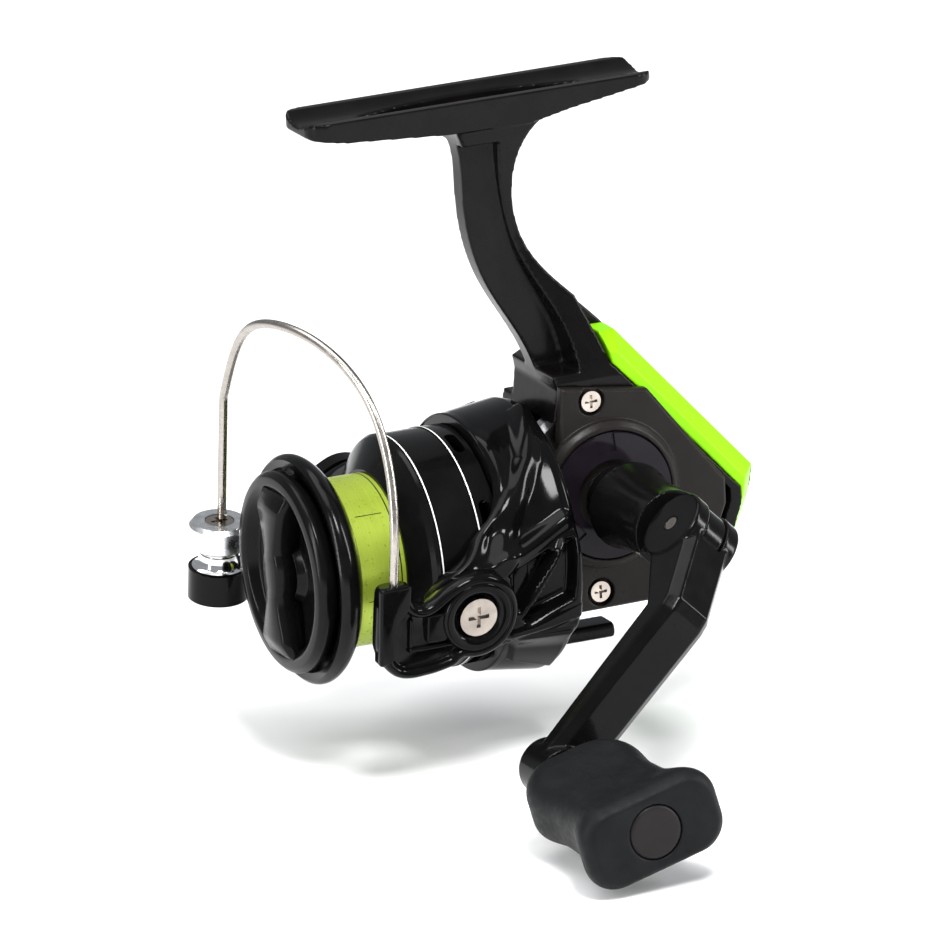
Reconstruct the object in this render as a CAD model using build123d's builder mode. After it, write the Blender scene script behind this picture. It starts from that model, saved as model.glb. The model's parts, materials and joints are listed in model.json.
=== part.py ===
from build123d import *
from math import cos, radians, sin
import os

# Small fixed-spool (spinning) reel. Millimetres, +Z up.
# Origin: centre of the foot's top seat. The spool axis runs along Y and its front
# faces -Y. The crank sits on the +X side.

# Driving dimensions
FOOT_LENGTH = 60.0
FOOT_WIDTH = 12.6
AXIS_Z = -74.0
CRANK_Y = 16.5
CRANK_Z = -66.5
RUN = 0.05

BODY_LEFT = -10.5
BODY_SPLIT = 9.0
COVER_FACE = 11.0
WALL = 2.0

SKIRT_RADIUS = 19.3
LIP_RADIUS = 18.6
ARBOR_RADIUS = 13.7
SHAFT_RADIUS = 1.2
ROTOR_ANGLE = 9.0
CUP_RADIUS = 22.3
PIVOT_Y = -13.9
LEVER_INNER = 23.8
LEVER_OUTER = 27.0
ROLLER_Y = -36.0
ROLLER_RADIUS_AT = -24.2

PINION_TEETH = 8
DRIVE_TEETH = 36
PINION_PITCH = 2.3
PINION_SLEEVE = 2.2
CRANK_SHAFT = 2.4
OSC_MODULE = 0.6
OSC_DRIVER_TEETH = 12
OSC_TEETH = 24

ARM_ANGLE = 45.0
CRANK_RADIUS = 42.7
FOLD_X = 42.0
ARM_RISE = 11.4
ARM_BEND = 12.6
KNOB_START = 58.2
KNOB_END = 90.4
KNOB_TILT = 15.0

SPOOL_AXIS = Axis((0, 0, AXIS_Z), (0, 1, 0))
CRANK_AXIS = Axis((0, CRANK_Y, CRANK_Z), (1, 0, 0))

# Planes. FRONT looks from the spool's front along its axis, with local x along the
# near bail arm and local y along the tangent there. SIDE has local x along the
# spool axis and local y along the same tangent, and faces the near arm.
ROTOR_COS = cos(radians(ROTOR_ANGLE))
ROTOR_SIN = sin(radians(ROTOR_ANGLE))
FRONT = Plane(origin=(0, 0, AXIS_Z), x_dir=(ROTOR_COS, 0, -ROTOR_SIN), z_dir=(0, -1, 0))
SIDE = Plane(origin=(0, 0, AXIS_Z), x_dir=(0, 1, 0), z_dir=(ROTOR_COS, 0, -ROTOR_SIN))
SPOOL_FACE = Plane(origin=(0, 0, AXIS_Z), x_dir=(1, 0, 0), z_dir=(0, -1, 0))
SPOOL_HALF = Plane(origin=(0, 0, AXIS_Z), x_dir=(0, 1, 0), z_dir=(1, 0, 0))
CRANK_HALF = Plane(origin=(0, CRANK_Y, CRANK_Z), x_dir=(1, 0, 0), z_dir=(0, 0, 1))
CRANK_FACE = Plane(origin=(0, CRANK_Y, CRANK_Z), x_dir=(0, 1, 0), z_dir=(1, 0, 0))
ARM_COS = cos(radians(ARM_ANGLE))
ARM_SIN = sin(radians(ARM_ANGLE))
ARM = Plane(
    origin=(FOLD_X, CRANK_Y, CRANK_Z), x_dir=(0, -ARM_SIN, -ARM_COS), z_dir=(0, -ARM_COS, ARM_SIN)
)
KNOB_Y = CRANK_Y - CRANK_RADIUS * ARM_SIN
KNOB_Z = CRANK_Z - CRANK_RADIUS * ARM_COS
KNOB_FACE = Plane(
    origin=(0, KNOB_Y, KNOB_Z),
    x_dir=(0, cos(radians(KNOB_TILT)), sin(radians(KNOB_TILT))),
    z_dir=(1, 0, 0),
)

os.makedirs("parts", exist_ok=True)


def save(builder, label):
    """Name a finished piece and write it as its own STEP file."""
    builder.part.label = label
    export_step(builder.part, f"parts/{label}.step")


def spool_profile(points):
    """Face between (y, radius) points, in the half plane above the spool axis."""
    return outline(SPOOL_HALF, points)


def crank_profile(points):
    """Face between (x, radius) points, in the half plane in front of the crank axis."""
    return outline(CRANK_HALF, points)


def outline(plane, points):
    """Closed straight-sided face on a plane."""
    with BuildSketch(plane) as face:
        with BuildLine():
            Polyline(*points, close=True)
        make_face()
    return face.sketch


def rotor_point(radial, along, tangent):
    """World point from coordinates on the rotor's own axes."""
    return SIDE.origin + SIDE.z_dir * radial + SIDE.x_dir * along + SIDE.y_dir * tangent


def forward(distance, plane=FRONT):
    """Plane across the spool axis at a world y."""
    return plane.offset(-distance)


def tooth(root, tip, root_width, tip_width):
    """Trapezoid tooth along +x, to be added to a sketch."""
    return outline(
        Plane.XY,
        [(root, -root_width / 2), (tip, -tip_width / 2), (tip, tip_width / 2), (root, root_width / 2)],
    )


# ---------------------------------------------------------------- fixed frame

# Side outline of the housing, without the foot
HOUSING_TOP = (21.0, -40.9)
HOUSING_REAR = (47.0, -69.5)
HOUSING_LOW = (46.4, -72.6)
HOUSING_HEEL = (40.0, -86.0)
HOUSING_FLOOR = -86.0
HOUSING_FRONT = 8.0
WEB_HALF = 1.9
GUARD_DEPTH = 5.4
# Each cover screw's y, z and the depth at which its pillar starts
SCREW_SPOTS = [(14.3, -51.0, BODY_LEFT + 0.5), (14.6, -82.7, BODY_LEFT + 0.5), (30.2, -81.4, 2.4)]
BOSS_PLATE_RADIUS = 19.2
PLATE_FRONT = 0.6
LUG_Y = 11.0
# Spots on the plane across the spool axis, as (x, height above the axis)
GUIDE_ROD = (-4.6, -6.4)
PAWL_PIVOT = (9.6, -10.2)
STOP_PIVOT = (0, -15.2)

with BuildPart() as stem:
    with BuildSketch(Plane.YZ):
        with BuildLine():
            Spline(
                (-6.5, -3.0), (-3.1, -8.4), (-2.4, -17.6), (0.7, -31.3), (6.4, -41.3), (9.4, -49.0)
            )
            Line((9.4, -49.0), (HOUSING_FRONT, -56.0))
            Line((HOUSING_FRONT, -56.0), (HOUSING_FRONT, HOUSING_FLOOR))
            Line((HOUSING_FRONT, HOUSING_FLOOR), HOUSING_HEEL)
            Line(HOUSING_HEEL, HOUSING_LOW)
            Line(HOUSING_LOW, HOUSING_REAR)
            Line(HOUSING_REAR, HOUSING_TOP)
            Spline(HOUSING_TOP, (13.3, -33.4), (8.0, -26.8), (5.7, -16.0), (8.6, -7.0), (16.0, -3.0))
            Line((16.0, -3.0), (-6.5, -3.0))
        make_face()
    extrude(amount=20, both=True)
    # Seen from the front: a narrow neck that flares into the housing
    with BuildSketch(Plane.XZ):
        with BuildLine():
            Polyline((-5.5, -2.0), (5.5, -2.0), (5.0, -5.0))
            Spline((5.0, -5.0), (3.5, -12.0), (3.5, -26.0), (6.2, -37.0), (BODY_SPLIT, -48.0))
            Polyline(
                (BODY_SPLIT, -48.0), (BODY_SPLIT, HOUSING_FLOOR),
                (BODY_LEFT, HOUSING_FLOOR), (BODY_LEFT, -49.0),
            )
            Spline((BODY_LEFT, -49.0), (-6.6, -37.0), (-3.5, -26.0), (-3.5, -12.0), (-5.0, -5.0))
            Line((-5.0, -5.0), (-5.5, -2.0))
        make_face()
    extrude(amount=80, both=True, mode=Mode.INTERSECT)
    # The neck is a web with a rear flange that widens down into the housing
    for side in (1, -1):
        with BuildSketch(Plane.YZ.offset(side * WEB_HALF)):
            with BuildLine():
                Spline((3.0, -8.0), (3.6, -17.0), (6.0, -27.0), (10.6, -36.0), (13.6, -46.6))
                Polyline((13.6, -46.6), (4.0, -46.6), (-9.0, -30.0), (-9.0, -8.0), (3.0, -8.0))
            make_face()
        extrude(amount=side * 12, mode=Mode.SUBTRACT)

with BuildPart() as foot:
    extrude(outline(
        Plane.YZ,
        [
            (-FOOT_LENGTH / 2, 0), (FOOT_LENGTH / 2, 0), (FOOT_LENGTH / 2, -1.6),
            (15.0, -3.8), (8.0, -5.2), (-6.0, -5.0), (-24.0, -3.6), (-FOOT_LENGTH / 2, -2.6),
        ],
    ), amount=FOOT_WIDTH / 2, both=True)
    fillet(foot.edges().filter_by(Axis.Z), 3.0)
    fillet(foot.edges().filter_by(Axis.X).sort_by(Axis.Z)[:4], 1.0)

TROUGH_RADIUS = 9.5
TROUGH_DEPTH = 1.3

with BuildPart() as reel_body:
    add(foot.part)
    add(stem.part)
    # Shallow trough along the top of the foot, then a long lens-shaped pocket
    with BuildSketch(Plane.XZ.offset(-FOOT_LENGTH)):
        with Locations((0, TROUGH_RADIUS - TROUGH_DEPTH)):
            Circle(TROUGH_RADIUS)
    extrude(amount=2 * FOOT_LENGTH, mode=Mode.SUBTRACT)
    with BuildSketch(Plane.XY.offset(-TROUGH_DEPTH - 1.4)):
        with BuildLine():
            ThreePointArc((0, -20), (2.4, 0), (0, 20))
            ThreePointArc((0, 20), (-2.4, 0), (0, -20))
        make_face()
    extrude(amount=3, mode=Mode.SUBTRACT)
    # Round plate that fills the back of the rotor
    with BuildSketch(forward(HOUSING_FRONT, SPOOL_FACE)):
        Circle(BOSS_PLATE_RADIUS)
    extrude(amount=HOUSING_FRONT - PLATE_FRONT)
    # Room for the rear guard on the cover side
    extrude(outline(
        Plane.YZ.offset(0.5),
        [(14.0, -33.0), (52.0, -69.0), (44.0, -95.0), (23.0, -95.0), (23.0, -84.2), (36.8, -84.2),
         (41.0, -72.4), (40.8, -69.9), (19.2, -46.0)],
    ), amount=12, mode=Mode.SUBTRACT)
    # The left shoulder slopes away from the neck
    with BuildSketch(Plane.XY.offset(-53.0)):
        with BuildLine():
            Polyline((BODY_LEFT - 0.1, 7.0), (-5.5, 7.0), (BODY_LEFT - 0.1, 12.5), (BODY_LEFT - 0.1, 7.0))
        make_face()
    extrude(amount=9, mode=Mode.SUBTRACT)
    # Gear room, open to the cover
    extrude(outline(
        Plane.YZ.offset(BODY_LEFT + WALL),
        [(2.2, -60.0), (4.4, -58.2), (6.6, -56.0), (9.0, -54.0), (12.0, -52.8), (14.0, -50.6),
         (21.6, -50.6), (38.8, -69.8), (38.8, -72.0),
         (34.8, -82.2), (17.6, -82.2), (10.4, -83.4), (2.2, -80.4)],
    ), amount=20, mode=Mode.SUBTRACT)
    # The left half of the gear room reaches further back, beside the guard
    extrude(outline(
        Plane.YZ.offset(BODY_LEFT + WALL),
        [(12.0, -50.6), (20.6, -46.4), (25.0, -48.8), (43.4, -69.8),
         (43.0, -72.2), (37.6, -83.6), (17.6, -82.2)],
    ), amount=7.2, mode=Mode.SUBTRACT)
    # Front plate cut back around the cover's boss
    with BuildSketch(CRANK_FACE.offset(BODY_SPLIT)):
        Circle(12.5)
    extrude(amount=20, mode=Mode.SUBTRACT)
    # Pillars for the cover screws, with pilot holes
    for y, z, start in SCREW_SPOTS:
        with BuildSketch(Plane.YZ.offset(start)):
            with Locations((y, z)):
                Circle(1.5)
        extrude(amount=BODY_SPLIT - start)
        with BuildSketch(Plane.YZ.offset(BODY_SPLIT)):
            with Locations((y, z)):
                Circle(0.9)
        extrude(amount=-6.5, mode=Mode.SUBTRACT)
    # Bearing seat on the left, and the pinion's bearing bore in the front plate
    with BuildSketch(CRANK_FACE.offset(BODY_LEFT - 1.0)):
        Circle(6.6)
    extrude(amount=3.4)
    with BuildSketch(CRANK_FACE.offset(BODY_LEFT - 2.0)):
        Circle(4.0)
    extrude(amount=6, mode=Mode.SUBTRACT)
    with BuildSketch(forward(4, SPOOL_FACE)):
        Circle(3.4)
    extrude(amount=6, mode=Mode.SUBTRACT)
    # Lug for the front end of the guide rod
    with BuildSketch(forward(LUG_Y + 1.4, SPOOL_FACE)):
        with Locations(GUIDE_ROD):
            Rectangle(8.4, 3.4)
    extrude(amount=1.4)
    # Guide rod bore, through the lug and blind in the rear wall
    with BuildSketch(forward(37.4, SPOOL_FACE)):
        with Locations(GUIDE_ROD):
            Circle(0.92)
    extrude(amount=37.4 - LUG_Y, mode=Mode.SUBTRACT)
    # Pawl pin bore in the front plate
    with BuildSketch(forward(3.5, SPOOL_FACE)):
        with Locations(PAWL_PIVOT):
            Circle(0.92)
    extrude(amount=4, mode=Mode.SUBTRACT)
    # Pivot bore of the anti-reverse lever
    with BuildSketch(forward(9, SPOOL_FACE)):
        with Locations(STOP_PIVOT):
            Circle(1.5 + RUN)
    extrude(amount=9, mode=Mode.SUBTRACT)
save(reel_body, "reel_body")

COVER_OUTLINE = [
    (9.2, -48.2), (24.3, -50.4), (37.4, -67.4), (37.4, -71.6), (32.6, -83.6), (23.6, -85.6), (8.4, -85.8),
    (8.4, -58.0),
]

with BuildPart() as side_cover:
    extrude(outline(Plane.YZ.offset(BODY_SPLIT + 0.02), COVER_OUTLINE), amount=COVER_FACE - BODY_SPLIT)
    chamfer(side_cover.faces().sort_by(Axis.X)[-1].edges(), 0.5)
    # Raised boss around the crank, with a dish for the dial ring
    revolve(
        crank_profile([
            (BODY_SPLIT + 0.02, 0), (BODY_SPLIT + 0.02, 7.6),
            (COVER_FACE - 0.2, 12.2), (COVER_FACE + 0.8, 12.2),
            (COVER_FACE + 1.6, 11.2), (COVER_FACE + 1.6, 0),
        ]),
        axis=CRANK_AXIS,
    )
    with BuildSketch(CRANK_FACE.offset(COVER_FACE + 0.9)):
        Circle(10.6)
    extrude(amount=2, mode=Mode.SUBTRACT)
    with BuildSketch(CRANK_FACE.offset(BODY_SPLIT - 1)):
        Circle(4.0)
    extrude(amount=6, mode=Mode.SUBTRACT)
    for y, z, _ in SCREW_SPOTS:
        with BuildSketch(Plane.YZ.offset(BODY_SPLIT - 1)):
            with Locations((y, z)):
                Circle(1.15)
        extrude(amount=8, mode=Mode.SUBTRACT)
        with BuildSketch(Plane.YZ.offset(COVER_FACE - 1.2)):
            with Locations((y, z)):
                Circle(2.3)
        extrude(amount=4, mode=Mode.SUBTRACT)
save(side_cover, "side_cover")

with BuildPart() as cover_screws:
    for y, z, _ in SCREW_SPOTS:
        with BuildSketch(Plane.YZ.offset(COVER_FACE - 1.18)):
            with Locations((y, z)):
                Circle(1.7)
        extrude(amount=1.0)
        with BuildSketch(Plane.YZ.offset(COVER_FACE - 1.18)):
            with Locations((y, z)):
                Circle(0.85)
        extrude(amount=-7.0)
        with BuildSketch(Plane.YZ.offset(COVER_FACE)):
            with Locations((y, z)):
                Rectangle(2.2, 0.45)
                Rectangle(0.45, 2.2)
        extrude(amount=-0.75, mode=Mode.SUBTRACT)
save(cover_screws, "cover_screws")

GUARD_EDGE = [(21.4, -41.4), (44.6, -67.6), (43.6, -72.6), (37.6, -85.9)]
GUARD_INNER = [
    (23.1, -85.9), (23.1, -84.25), (36.85, -84.25), (41.05, -72.4),
    (40.85, -69.85), (19.3, -45.9), (18.0, -38.6),
]
GUARD_FOOT_X = 0.55
GUARD_RIDGE_X = 5.2
GUARD_FACE_X = 8.95
GUARD_SLOPE = 36.0

with BuildPart() as rear_guard:
    # Straight wall up to the ridge, then a broad bevel in to the side face
    guard_area = outline(Plane.YZ.offset(GUARD_FOOT_X), GUARD_EDGE + [(-6, -85.9), (-6, -41.4)])
    extrude(guard_area, amount=GUARD_RIDGE_X - GUARD_FOOT_X)
    bevel_area = outline(Plane.YZ.offset(GUARD_RIDGE_X), GUARD_EDGE + [(-6, -85.9), (-6, -41.4)])
    extrude(bevel_area, amount=GUARD_FACE_X - GUARD_RIDGE_X, taper=GUARD_SLOPE)
    housing_side = outline(Plane.YZ, GUARD_INNER + [(-9, -34.0), (-9, -85.95)])
    extrude(housing_side, amount=20, mode=Mode.SUBTRACT)
save(rear_guard, "rear_guard")

with BuildPart() as dial_ring:
    revolve(
        crank_profile([
            (COVER_FACE + 0.92, 6.0), (COVER_FACE + 0.92, 10.5),
            (COVER_FACE + 1.9, 10.3), (COVER_FACE + 1.9, 6.0),
        ]),
        axis=CRANK_AXIS,
    )
    with BuildSketch(CRANK_FACE.offset(COVER_FACE + 1.5)):
        with PolarLocations(9.0, 3, start_angle=96):
            Rectangle(3.6, 3.4)
    extrude(amount=2, mode=Mode.SUBTRACT)
save(dial_ring, "dial_ring")


def bearing(label, start, end, inner, outer, profile, axis):
    """A shielded ball bearing drawn as one ring with a shallow groove on each face."""
    mid_low = inner + (outer - inner) * 0.3
    mid_high = inner + (outer - inner) * 0.7
    depth = 0.15
    with BuildPart() as ring:
        revolve(
            profile([
                (start, inner), (start, mid_low), (start + depth, mid_low), (start + depth, mid_high),
                (start, mid_high), (start, outer), (end, outer), (end, mid_high), (end - depth, mid_high),
                (end - depth, mid_low), (end, mid_low), (end, inner),
            ]),
            axis=axis,
        )
    save(ring, label)


bearing(
    "cover_bearing", COVER_FACE - 2.0, COVER_FACE + 0.6, CRANK_SHAFT + RUN, 3.98, crank_profile, CRANK_AXIS
)
bearing("body_bearing", BODY_LEFT + 0.2, BODY_LEFT + 2.2, CRANK_SHAFT + RUN, 3.98, crank_profile, CRANK_AXIS)
bearing("pinion_bearing", 0.7, 2.4, PINION_SLEEVE + RUN, 3.38, spool_profile, SPOOL_AXIS)

with BuildPart() as guide_rod:
    with BuildSketch(forward(37.2, SPOOL_FACE)):
        with Locations(GUIDE_ROD):
            Circle(0.9)
    extrude(amount=37.2 - LUG_Y)
save(guide_rod, "guide_rod")

with BuildPart() as bore_cap:
    revolve(
        crank_profile([
            (BODY_LEFT - 2.6, 0), (BODY_LEFT - 2.6, 5.4), (BODY_LEFT - 1.8, 6.2), (BODY_LEFT - 1.05, 6.2),
            (BODY_LEFT - 1.05, 3.9), (BODY_LEFT - 0.1, 3.9), (BODY_LEFT - 0.1, 0),
        ]),
        axis=CRANK_AXIS,
    )
    with BuildSketch(CRANK_FACE.offset(BODY_LEFT - 2.7)):
        Rectangle(7.5, 1.2)
    extrude(amount=0.8, mode=Mode.SUBTRACT)
save(bore_cap, "bore_cap")

# ---------------------------------------------------------------- gear train

MESH_RADIUS = PINION_PITCH * DRIVE_TEETH / PINION_TEETH
OFFSET = CRANK_Z - AXIS_Z

with BuildPart() as pinion_gear:
    revolve(
        spool_profile([
            (-7.4, SHAFT_RADIUS + RUN), (-7.4, PINION_SLEEVE), (4.2, PINION_SLEEVE), (4.2, 1.75), (8.7, 1.75),
            (8.7, SHAFT_RADIUS + RUN),
        ]),
        axis=SPOOL_AXIS,
    )
    with BuildSketch(forward(8.7, SPOOL_FACE)):
        with PolarLocations(0, PINION_TEETH):
            add(tooth(1.5, PINION_PITCH + 0.45, 0.84, 0.3))
    extrude(amount=4.5)
save(pinion_gear, "pinion_gear")

# Teeth of the drive gear stand on its face, tangent to the circle of the shaft offset,
# so that the one in mesh lies along the pinion. A gap faces the pinion tooth at +X.
with BuildPart() as drive_gear:
    revolve(
        crank_profile([
            (2.95, 11.2), (2.95, 13.9), (5.0, 13.9), (5.6, 12.8), (5.6, 4.4), (7.4, 4.4),
            (7.4, CRANK_SHAFT + 0.02), (3.6, CRANK_SHAFT + 0.02), (3.6, 4.4), (4.4, 4.4), (4.4, 11.2),
        ]),
        axis=CRANK_AXIS,
    )
    for index in range(DRIVE_TEETH):
        turn = radians(360 * (index + 0.5) / DRIVE_TEETH)
        across = Plane(origin=CRANK_FACE.origin, x_dir=(1, 0, 0), z_dir=(0, -cos(turn), -sin(turn)))
        tooth_end = [
            (3.2, -OFFSET - 0.38), (1.9, -OFFSET - 0.16), (1.9, -OFFSET + 0.16), (3.2, -OFFSET + 0.38),
        ]
        extrude(outline(across.offset(MESH_RADIUS - 1.15), tooth_end), amount=2.4)
save(drive_gear, "drive_gear")

with BuildPart() as drive_shaft:
    revolve(
        crank_profile([(BODY_LEFT + 0.4, 0), (BODY_LEFT + 0.4, CRANK_SHAFT), (14.2, CRANK_SHAFT), (14.2, 0)]),
        axis=CRANK_AXIS,
    )
    with BuildSketch(CRANK_FACE.offset(14.3)):
        RegularPolygon(1.5, 4)
    extrude(amount=-9, mode=Mode.SUBTRACT)
save(drive_shaft, "drive_shaft")


def spur(teeth, phase, plane, width, bore):
    """Spur gear with thin trapezoid teeth, so that the pair runs with backlash."""
    pitch = OSC_MODULE * teeth / 2
    with BuildSketch(plane) as face:
        Circle(pitch - 0.62)
        with PolarLocations(0, teeth, start_angle=phase):
            add(tooth(pitch - 0.9, pitch + 0.5, 0.95, 0.34))
        Circle(bore, mode=Mode.SUBTRACT)
    return extrude(face.sketch, amount=width, mode=Mode.PRIVATE)


OSC_DISTANCE = OSC_MODULE * (OSC_DRIVER_TEETH + OSC_TEETH) / 2
OSC_Y = CRANK_Y + OSC_DISTANCE
OSC_PLANE = Plane(origin=(-7.6, OSC_Y, CRANK_Z), x_dir=(0, 1, 0), z_dir=(1, 0, 0))

with BuildPart() as oscillation_driver:
    add(spur(OSC_DRIVER_TEETH, 0, CRANK_FACE.offset(-7.7), 1.9, CRANK_SHAFT + 0.02))
save(oscillation_driver, "oscillation_driver")

# A tooth of the driver points at the gear's centre, so a gap of the gear faces it.
with BuildPart() as oscillation_gear:
    add(spur(OSC_TEETH, 180 / OSC_TEETH, OSC_PLANE, 1.6, 1.6 + RUN))
    with BuildSketch(OSC_PLANE.offset(1.6)):
        with Locations((0, 4.2)):
            Circle(1.1)
    extrude(amount=1.4)
save(oscillation_gear, "oscillation_gear")

with BuildPart() as oscillation_post:
    with BuildSketch(OSC_PLANE.offset(-0.86)):
        Circle(1.6)
    extrude(amount=2.6)
    with BuildSketch(OSC_PLANE.offset(1.74)):
        Circle(2.2)
    extrude(amount=0.5)
save(oscillation_post, "oscillation_post")

SLIDER_Y = 30.0
DRAG_PIN_Y = -19.0

with BuildPart() as oscillation_slider:
    with BuildSketch(forward(SLIDER_Y + 2.6, SPOOL_FACE)):
        with Locations((-0.95, 4.3)):
            Rectangle(4.9, 13.8)
        with Locations((-2.6, -4.6)):
            Rectangle(6.2, 6.4)
    extrude(amount=5.2)
    with BuildSketch(forward(SLIDER_Y + 3, SPOOL_FACE)):
        with Locations(GUIDE_ROD):
            Circle(0.9 + RUN)
    extrude(amount=6, mode=Mode.SUBTRACT)
    with BuildSketch(Plane.YZ.offset(-4.0)):
        with Locations((SLIDER_Y, AXIS_Z)):
            Circle(0.82)
    extrude(amount=3.5, mode=Mode.SUBTRACT)
    with BuildSketch(forward(SLIDER_Y + 3, SPOOL_FACE)):
        with Locations((1.0, 8.0)):
            Rectangle(6.0, 11.0)
        Circle(SHAFT_RADIUS + 0.02)
    extrude(amount=6, mode=Mode.SUBTRACT)
    # Upright slot for the gear's crank pin
    slot = [(SLIDER_Y - 1.2, -72), (SLIDER_Y + 1.2, -72), (SLIDER_Y + 1.2, -63.6), (SLIDER_Y - 1.2, -63.6)]
    extrude(outline(Plane.YZ.offset(-4), slot), amount=2.5, mode=Mode.SUBTRACT)
save(oscillation_slider, "oscillation_slider")

with BuildPart() as slider_screw:
    # Grub screw that holds the slider on the shaft
    with BuildSketch(Plane.YZ.offset(-3.3)):
        with Locations((SLIDER_Y, AXIS_Z)):
            Circle(0.8)
            Rectangle(1.2, 0.3, mode=Mode.SUBTRACT)
    extrude(amount=0.5)
    with BuildSketch(Plane.YZ.offset(-2.8)):
        with Locations((SLIDER_Y, AXIS_Z)):
            Circle(0.8)
    extrude(amount=1.58)
save(slider_screw, "slider_screw")

with BuildPart() as main_shaft:
    revolve(
        spool_profile([
            (-35.6, 0), (-35.6, 0.9), (-35.3, SHAFT_RADIUS), (33.2, SHAFT_RADIUS), (33.5, 0.9), (33.5, 0),
        ]),
        axis=SPOOL_AXIS,
    )
    # Cross pin that stops the shaft from turning under the drag
    with BuildSketch(Plane.XY.offset(AXIS_Z)):
        with Locations((0, DRAG_PIN_Y)):
            Circle(0.5)
    extrude(amount=2.6, both=True)
save(main_shaft, "main_shaft")

# ---------------------------------------------------------------- spool

LIP_REAR = -28.9
ARBOR_REAR = -20.4
SKIRT_REAR = -5.7
DRAG_SEAT = -30.4

with BuildPart() as spool_arbor:
    # Band that carries the line, with the hub, the drag pocket and a web behind it
    revolve(
        spool_profile([
            (LIP_REAR - 3.0, 11.6), (LIP_REAR - 3.0, 12.6), (LIP_REAR, 12.6), (LIP_REAR, ARBOR_RADIUS),
            (ARBOR_REAR, ARBOR_RADIUS), (ARBOR_REAR, 12.6), (-18.6, 12.6), (-18.6, 10.0), (-27.4, 10.0),
            (-27.4, 4.0), (-21.0, 4.0), (-21.0, SHAFT_RADIUS + RUN), (DRAG_SEAT, SHAFT_RADIUS + RUN),
            (DRAG_SEAT, 11.6),
        ]),
        axis=SPOOL_AXIS,
    )
save(spool_arbor, "spool_arbor")

with BuildPart() as spool_lip:
    with BuildSketch(SPOOL_HALF):
        with BuildLine():
            Polyline((LIP_REAR - 2.98, 12.62), (LIP_REAR, 12.62), (LIP_REAR, 15.6))
            Spline((LIP_REAR, 15.6), (-30.3, 17.6), (-32.2, LIP_RADIUS), (-33.6, 17.8))
            Polyline((-33.6, 17.8), (-33.4, 16.6), (LIP_REAR - 2.98, 14.9), (LIP_REAR - 2.98, 12.62))
        make_face()
    revolve(axis=SPOOL_AXIS)
save(spool_lip, "spool_lip")

with BuildPart() as spool_skirt:
    revolve(
        spool_profile([
            (ARBOR_REAR + 0.02, 12.62), (ARBOR_REAR + 0.02, 14.2), (-17.9, 18.2), (-17.3, SKIRT_RADIUS - 0.3),
            (-16.8, SKIRT_RADIUS), (SKIRT_REAR, SKIRT_RADIUS), (SKIRT_REAR, 17.9),
            (-15.6, 17.9), (-17.2, 16.4),
            (-18.4, 12.62),
        ]),
        axis=SPOOL_AXIS,
    )
    # Raised hoops around the skirt, and line-drain slots near its rear edge
    for hoop_y in (-16.4, -9.3):
        revolve(
            spool_profile([(hoop_y - 0.2, SKIRT_RADIUS - 0.2), (hoop_y - 0.2, SKIRT_RADIUS + 0.12),
                           (hoop_y + 0.2, SKIRT_RADIUS + 0.12), (hoop_y + 0.2, SKIRT_RADIUS - 0.2)]),
            axis=SPOOL_AXIS,
        )
    for turn in range(8):
        angle = radians(45 * turn + 28)
        radial = Plane(origin=(0, 0, AXIS_Z), x_dir=(0, 1, 0), z_dir=(cos(angle), 0, sin(angle)))
        with BuildSketch(radial.offset(16)):
            with Locations((-7.5, 0)):
                SlotOverall(5.4, 1.9, rotation=90)
        extrude(amount=5, mode=Mode.SUBTRACT)
save(spool_skirt, "spool_skirt")

with BuildPart() as drag_washers:
    # Fibre and steel discs stacked in the drag pocket
    for index in range(3):
        start = DRAG_SEAT - 0.02 - 0.62 * (index + 1)
        rim = 11.0 - 0.3 * (index % 2)
        revolve(
            spool_profile([(start, 1.9), (start, rim), (start + 0.6, rim), (start + 0.6, 1.9)]),
            axis=SPOOL_AXIS,
        )
save(drag_washers, "drag_washers")

with BuildPart() as drag_retainer:
    with BuildSketch(SPOOL_FACE.offset(-DRAG_SEAT + 1.92)):
        Circle(11.5)
        Circle(9.6, mode=Mode.SUBTRACT)
        with Locations((0, 10.5)):
            Rectangle(4.0, 4.0, mode=Mode.SUBTRACT)
    extrude(amount=0.5)
save(drag_retainer, "drag_retainer")

with BuildPart() as spool_seat:
    # Click plate and washer that the spool rests on, keyed to the shaft's cross pin
    revolve(
        spool_profile([
            (-20.9, SHAFT_RADIUS + 0.02), (-20.9, 3.8), (-20.1, 3.8), (-20.1, 2.4), (-17.8, 2.4),
            (-17.8, SHAFT_RADIUS + 0.02),
        ]),
        axis=SPOOL_AXIS,
    )
    with BuildSketch(Plane.XY.offset(AXIS_Z)):
        with Locations((0, DRAG_PIN_Y)):
            Circle(0.52)
    extrude(amount=3, both=True, mode=Mode.SUBTRACT)
save(spool_seat, "spool_seat")

# ---------------------------------------------------------------- drag knob

KNOB_RIM = 16.2
KNOB_RIM_Y = -36.6

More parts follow.
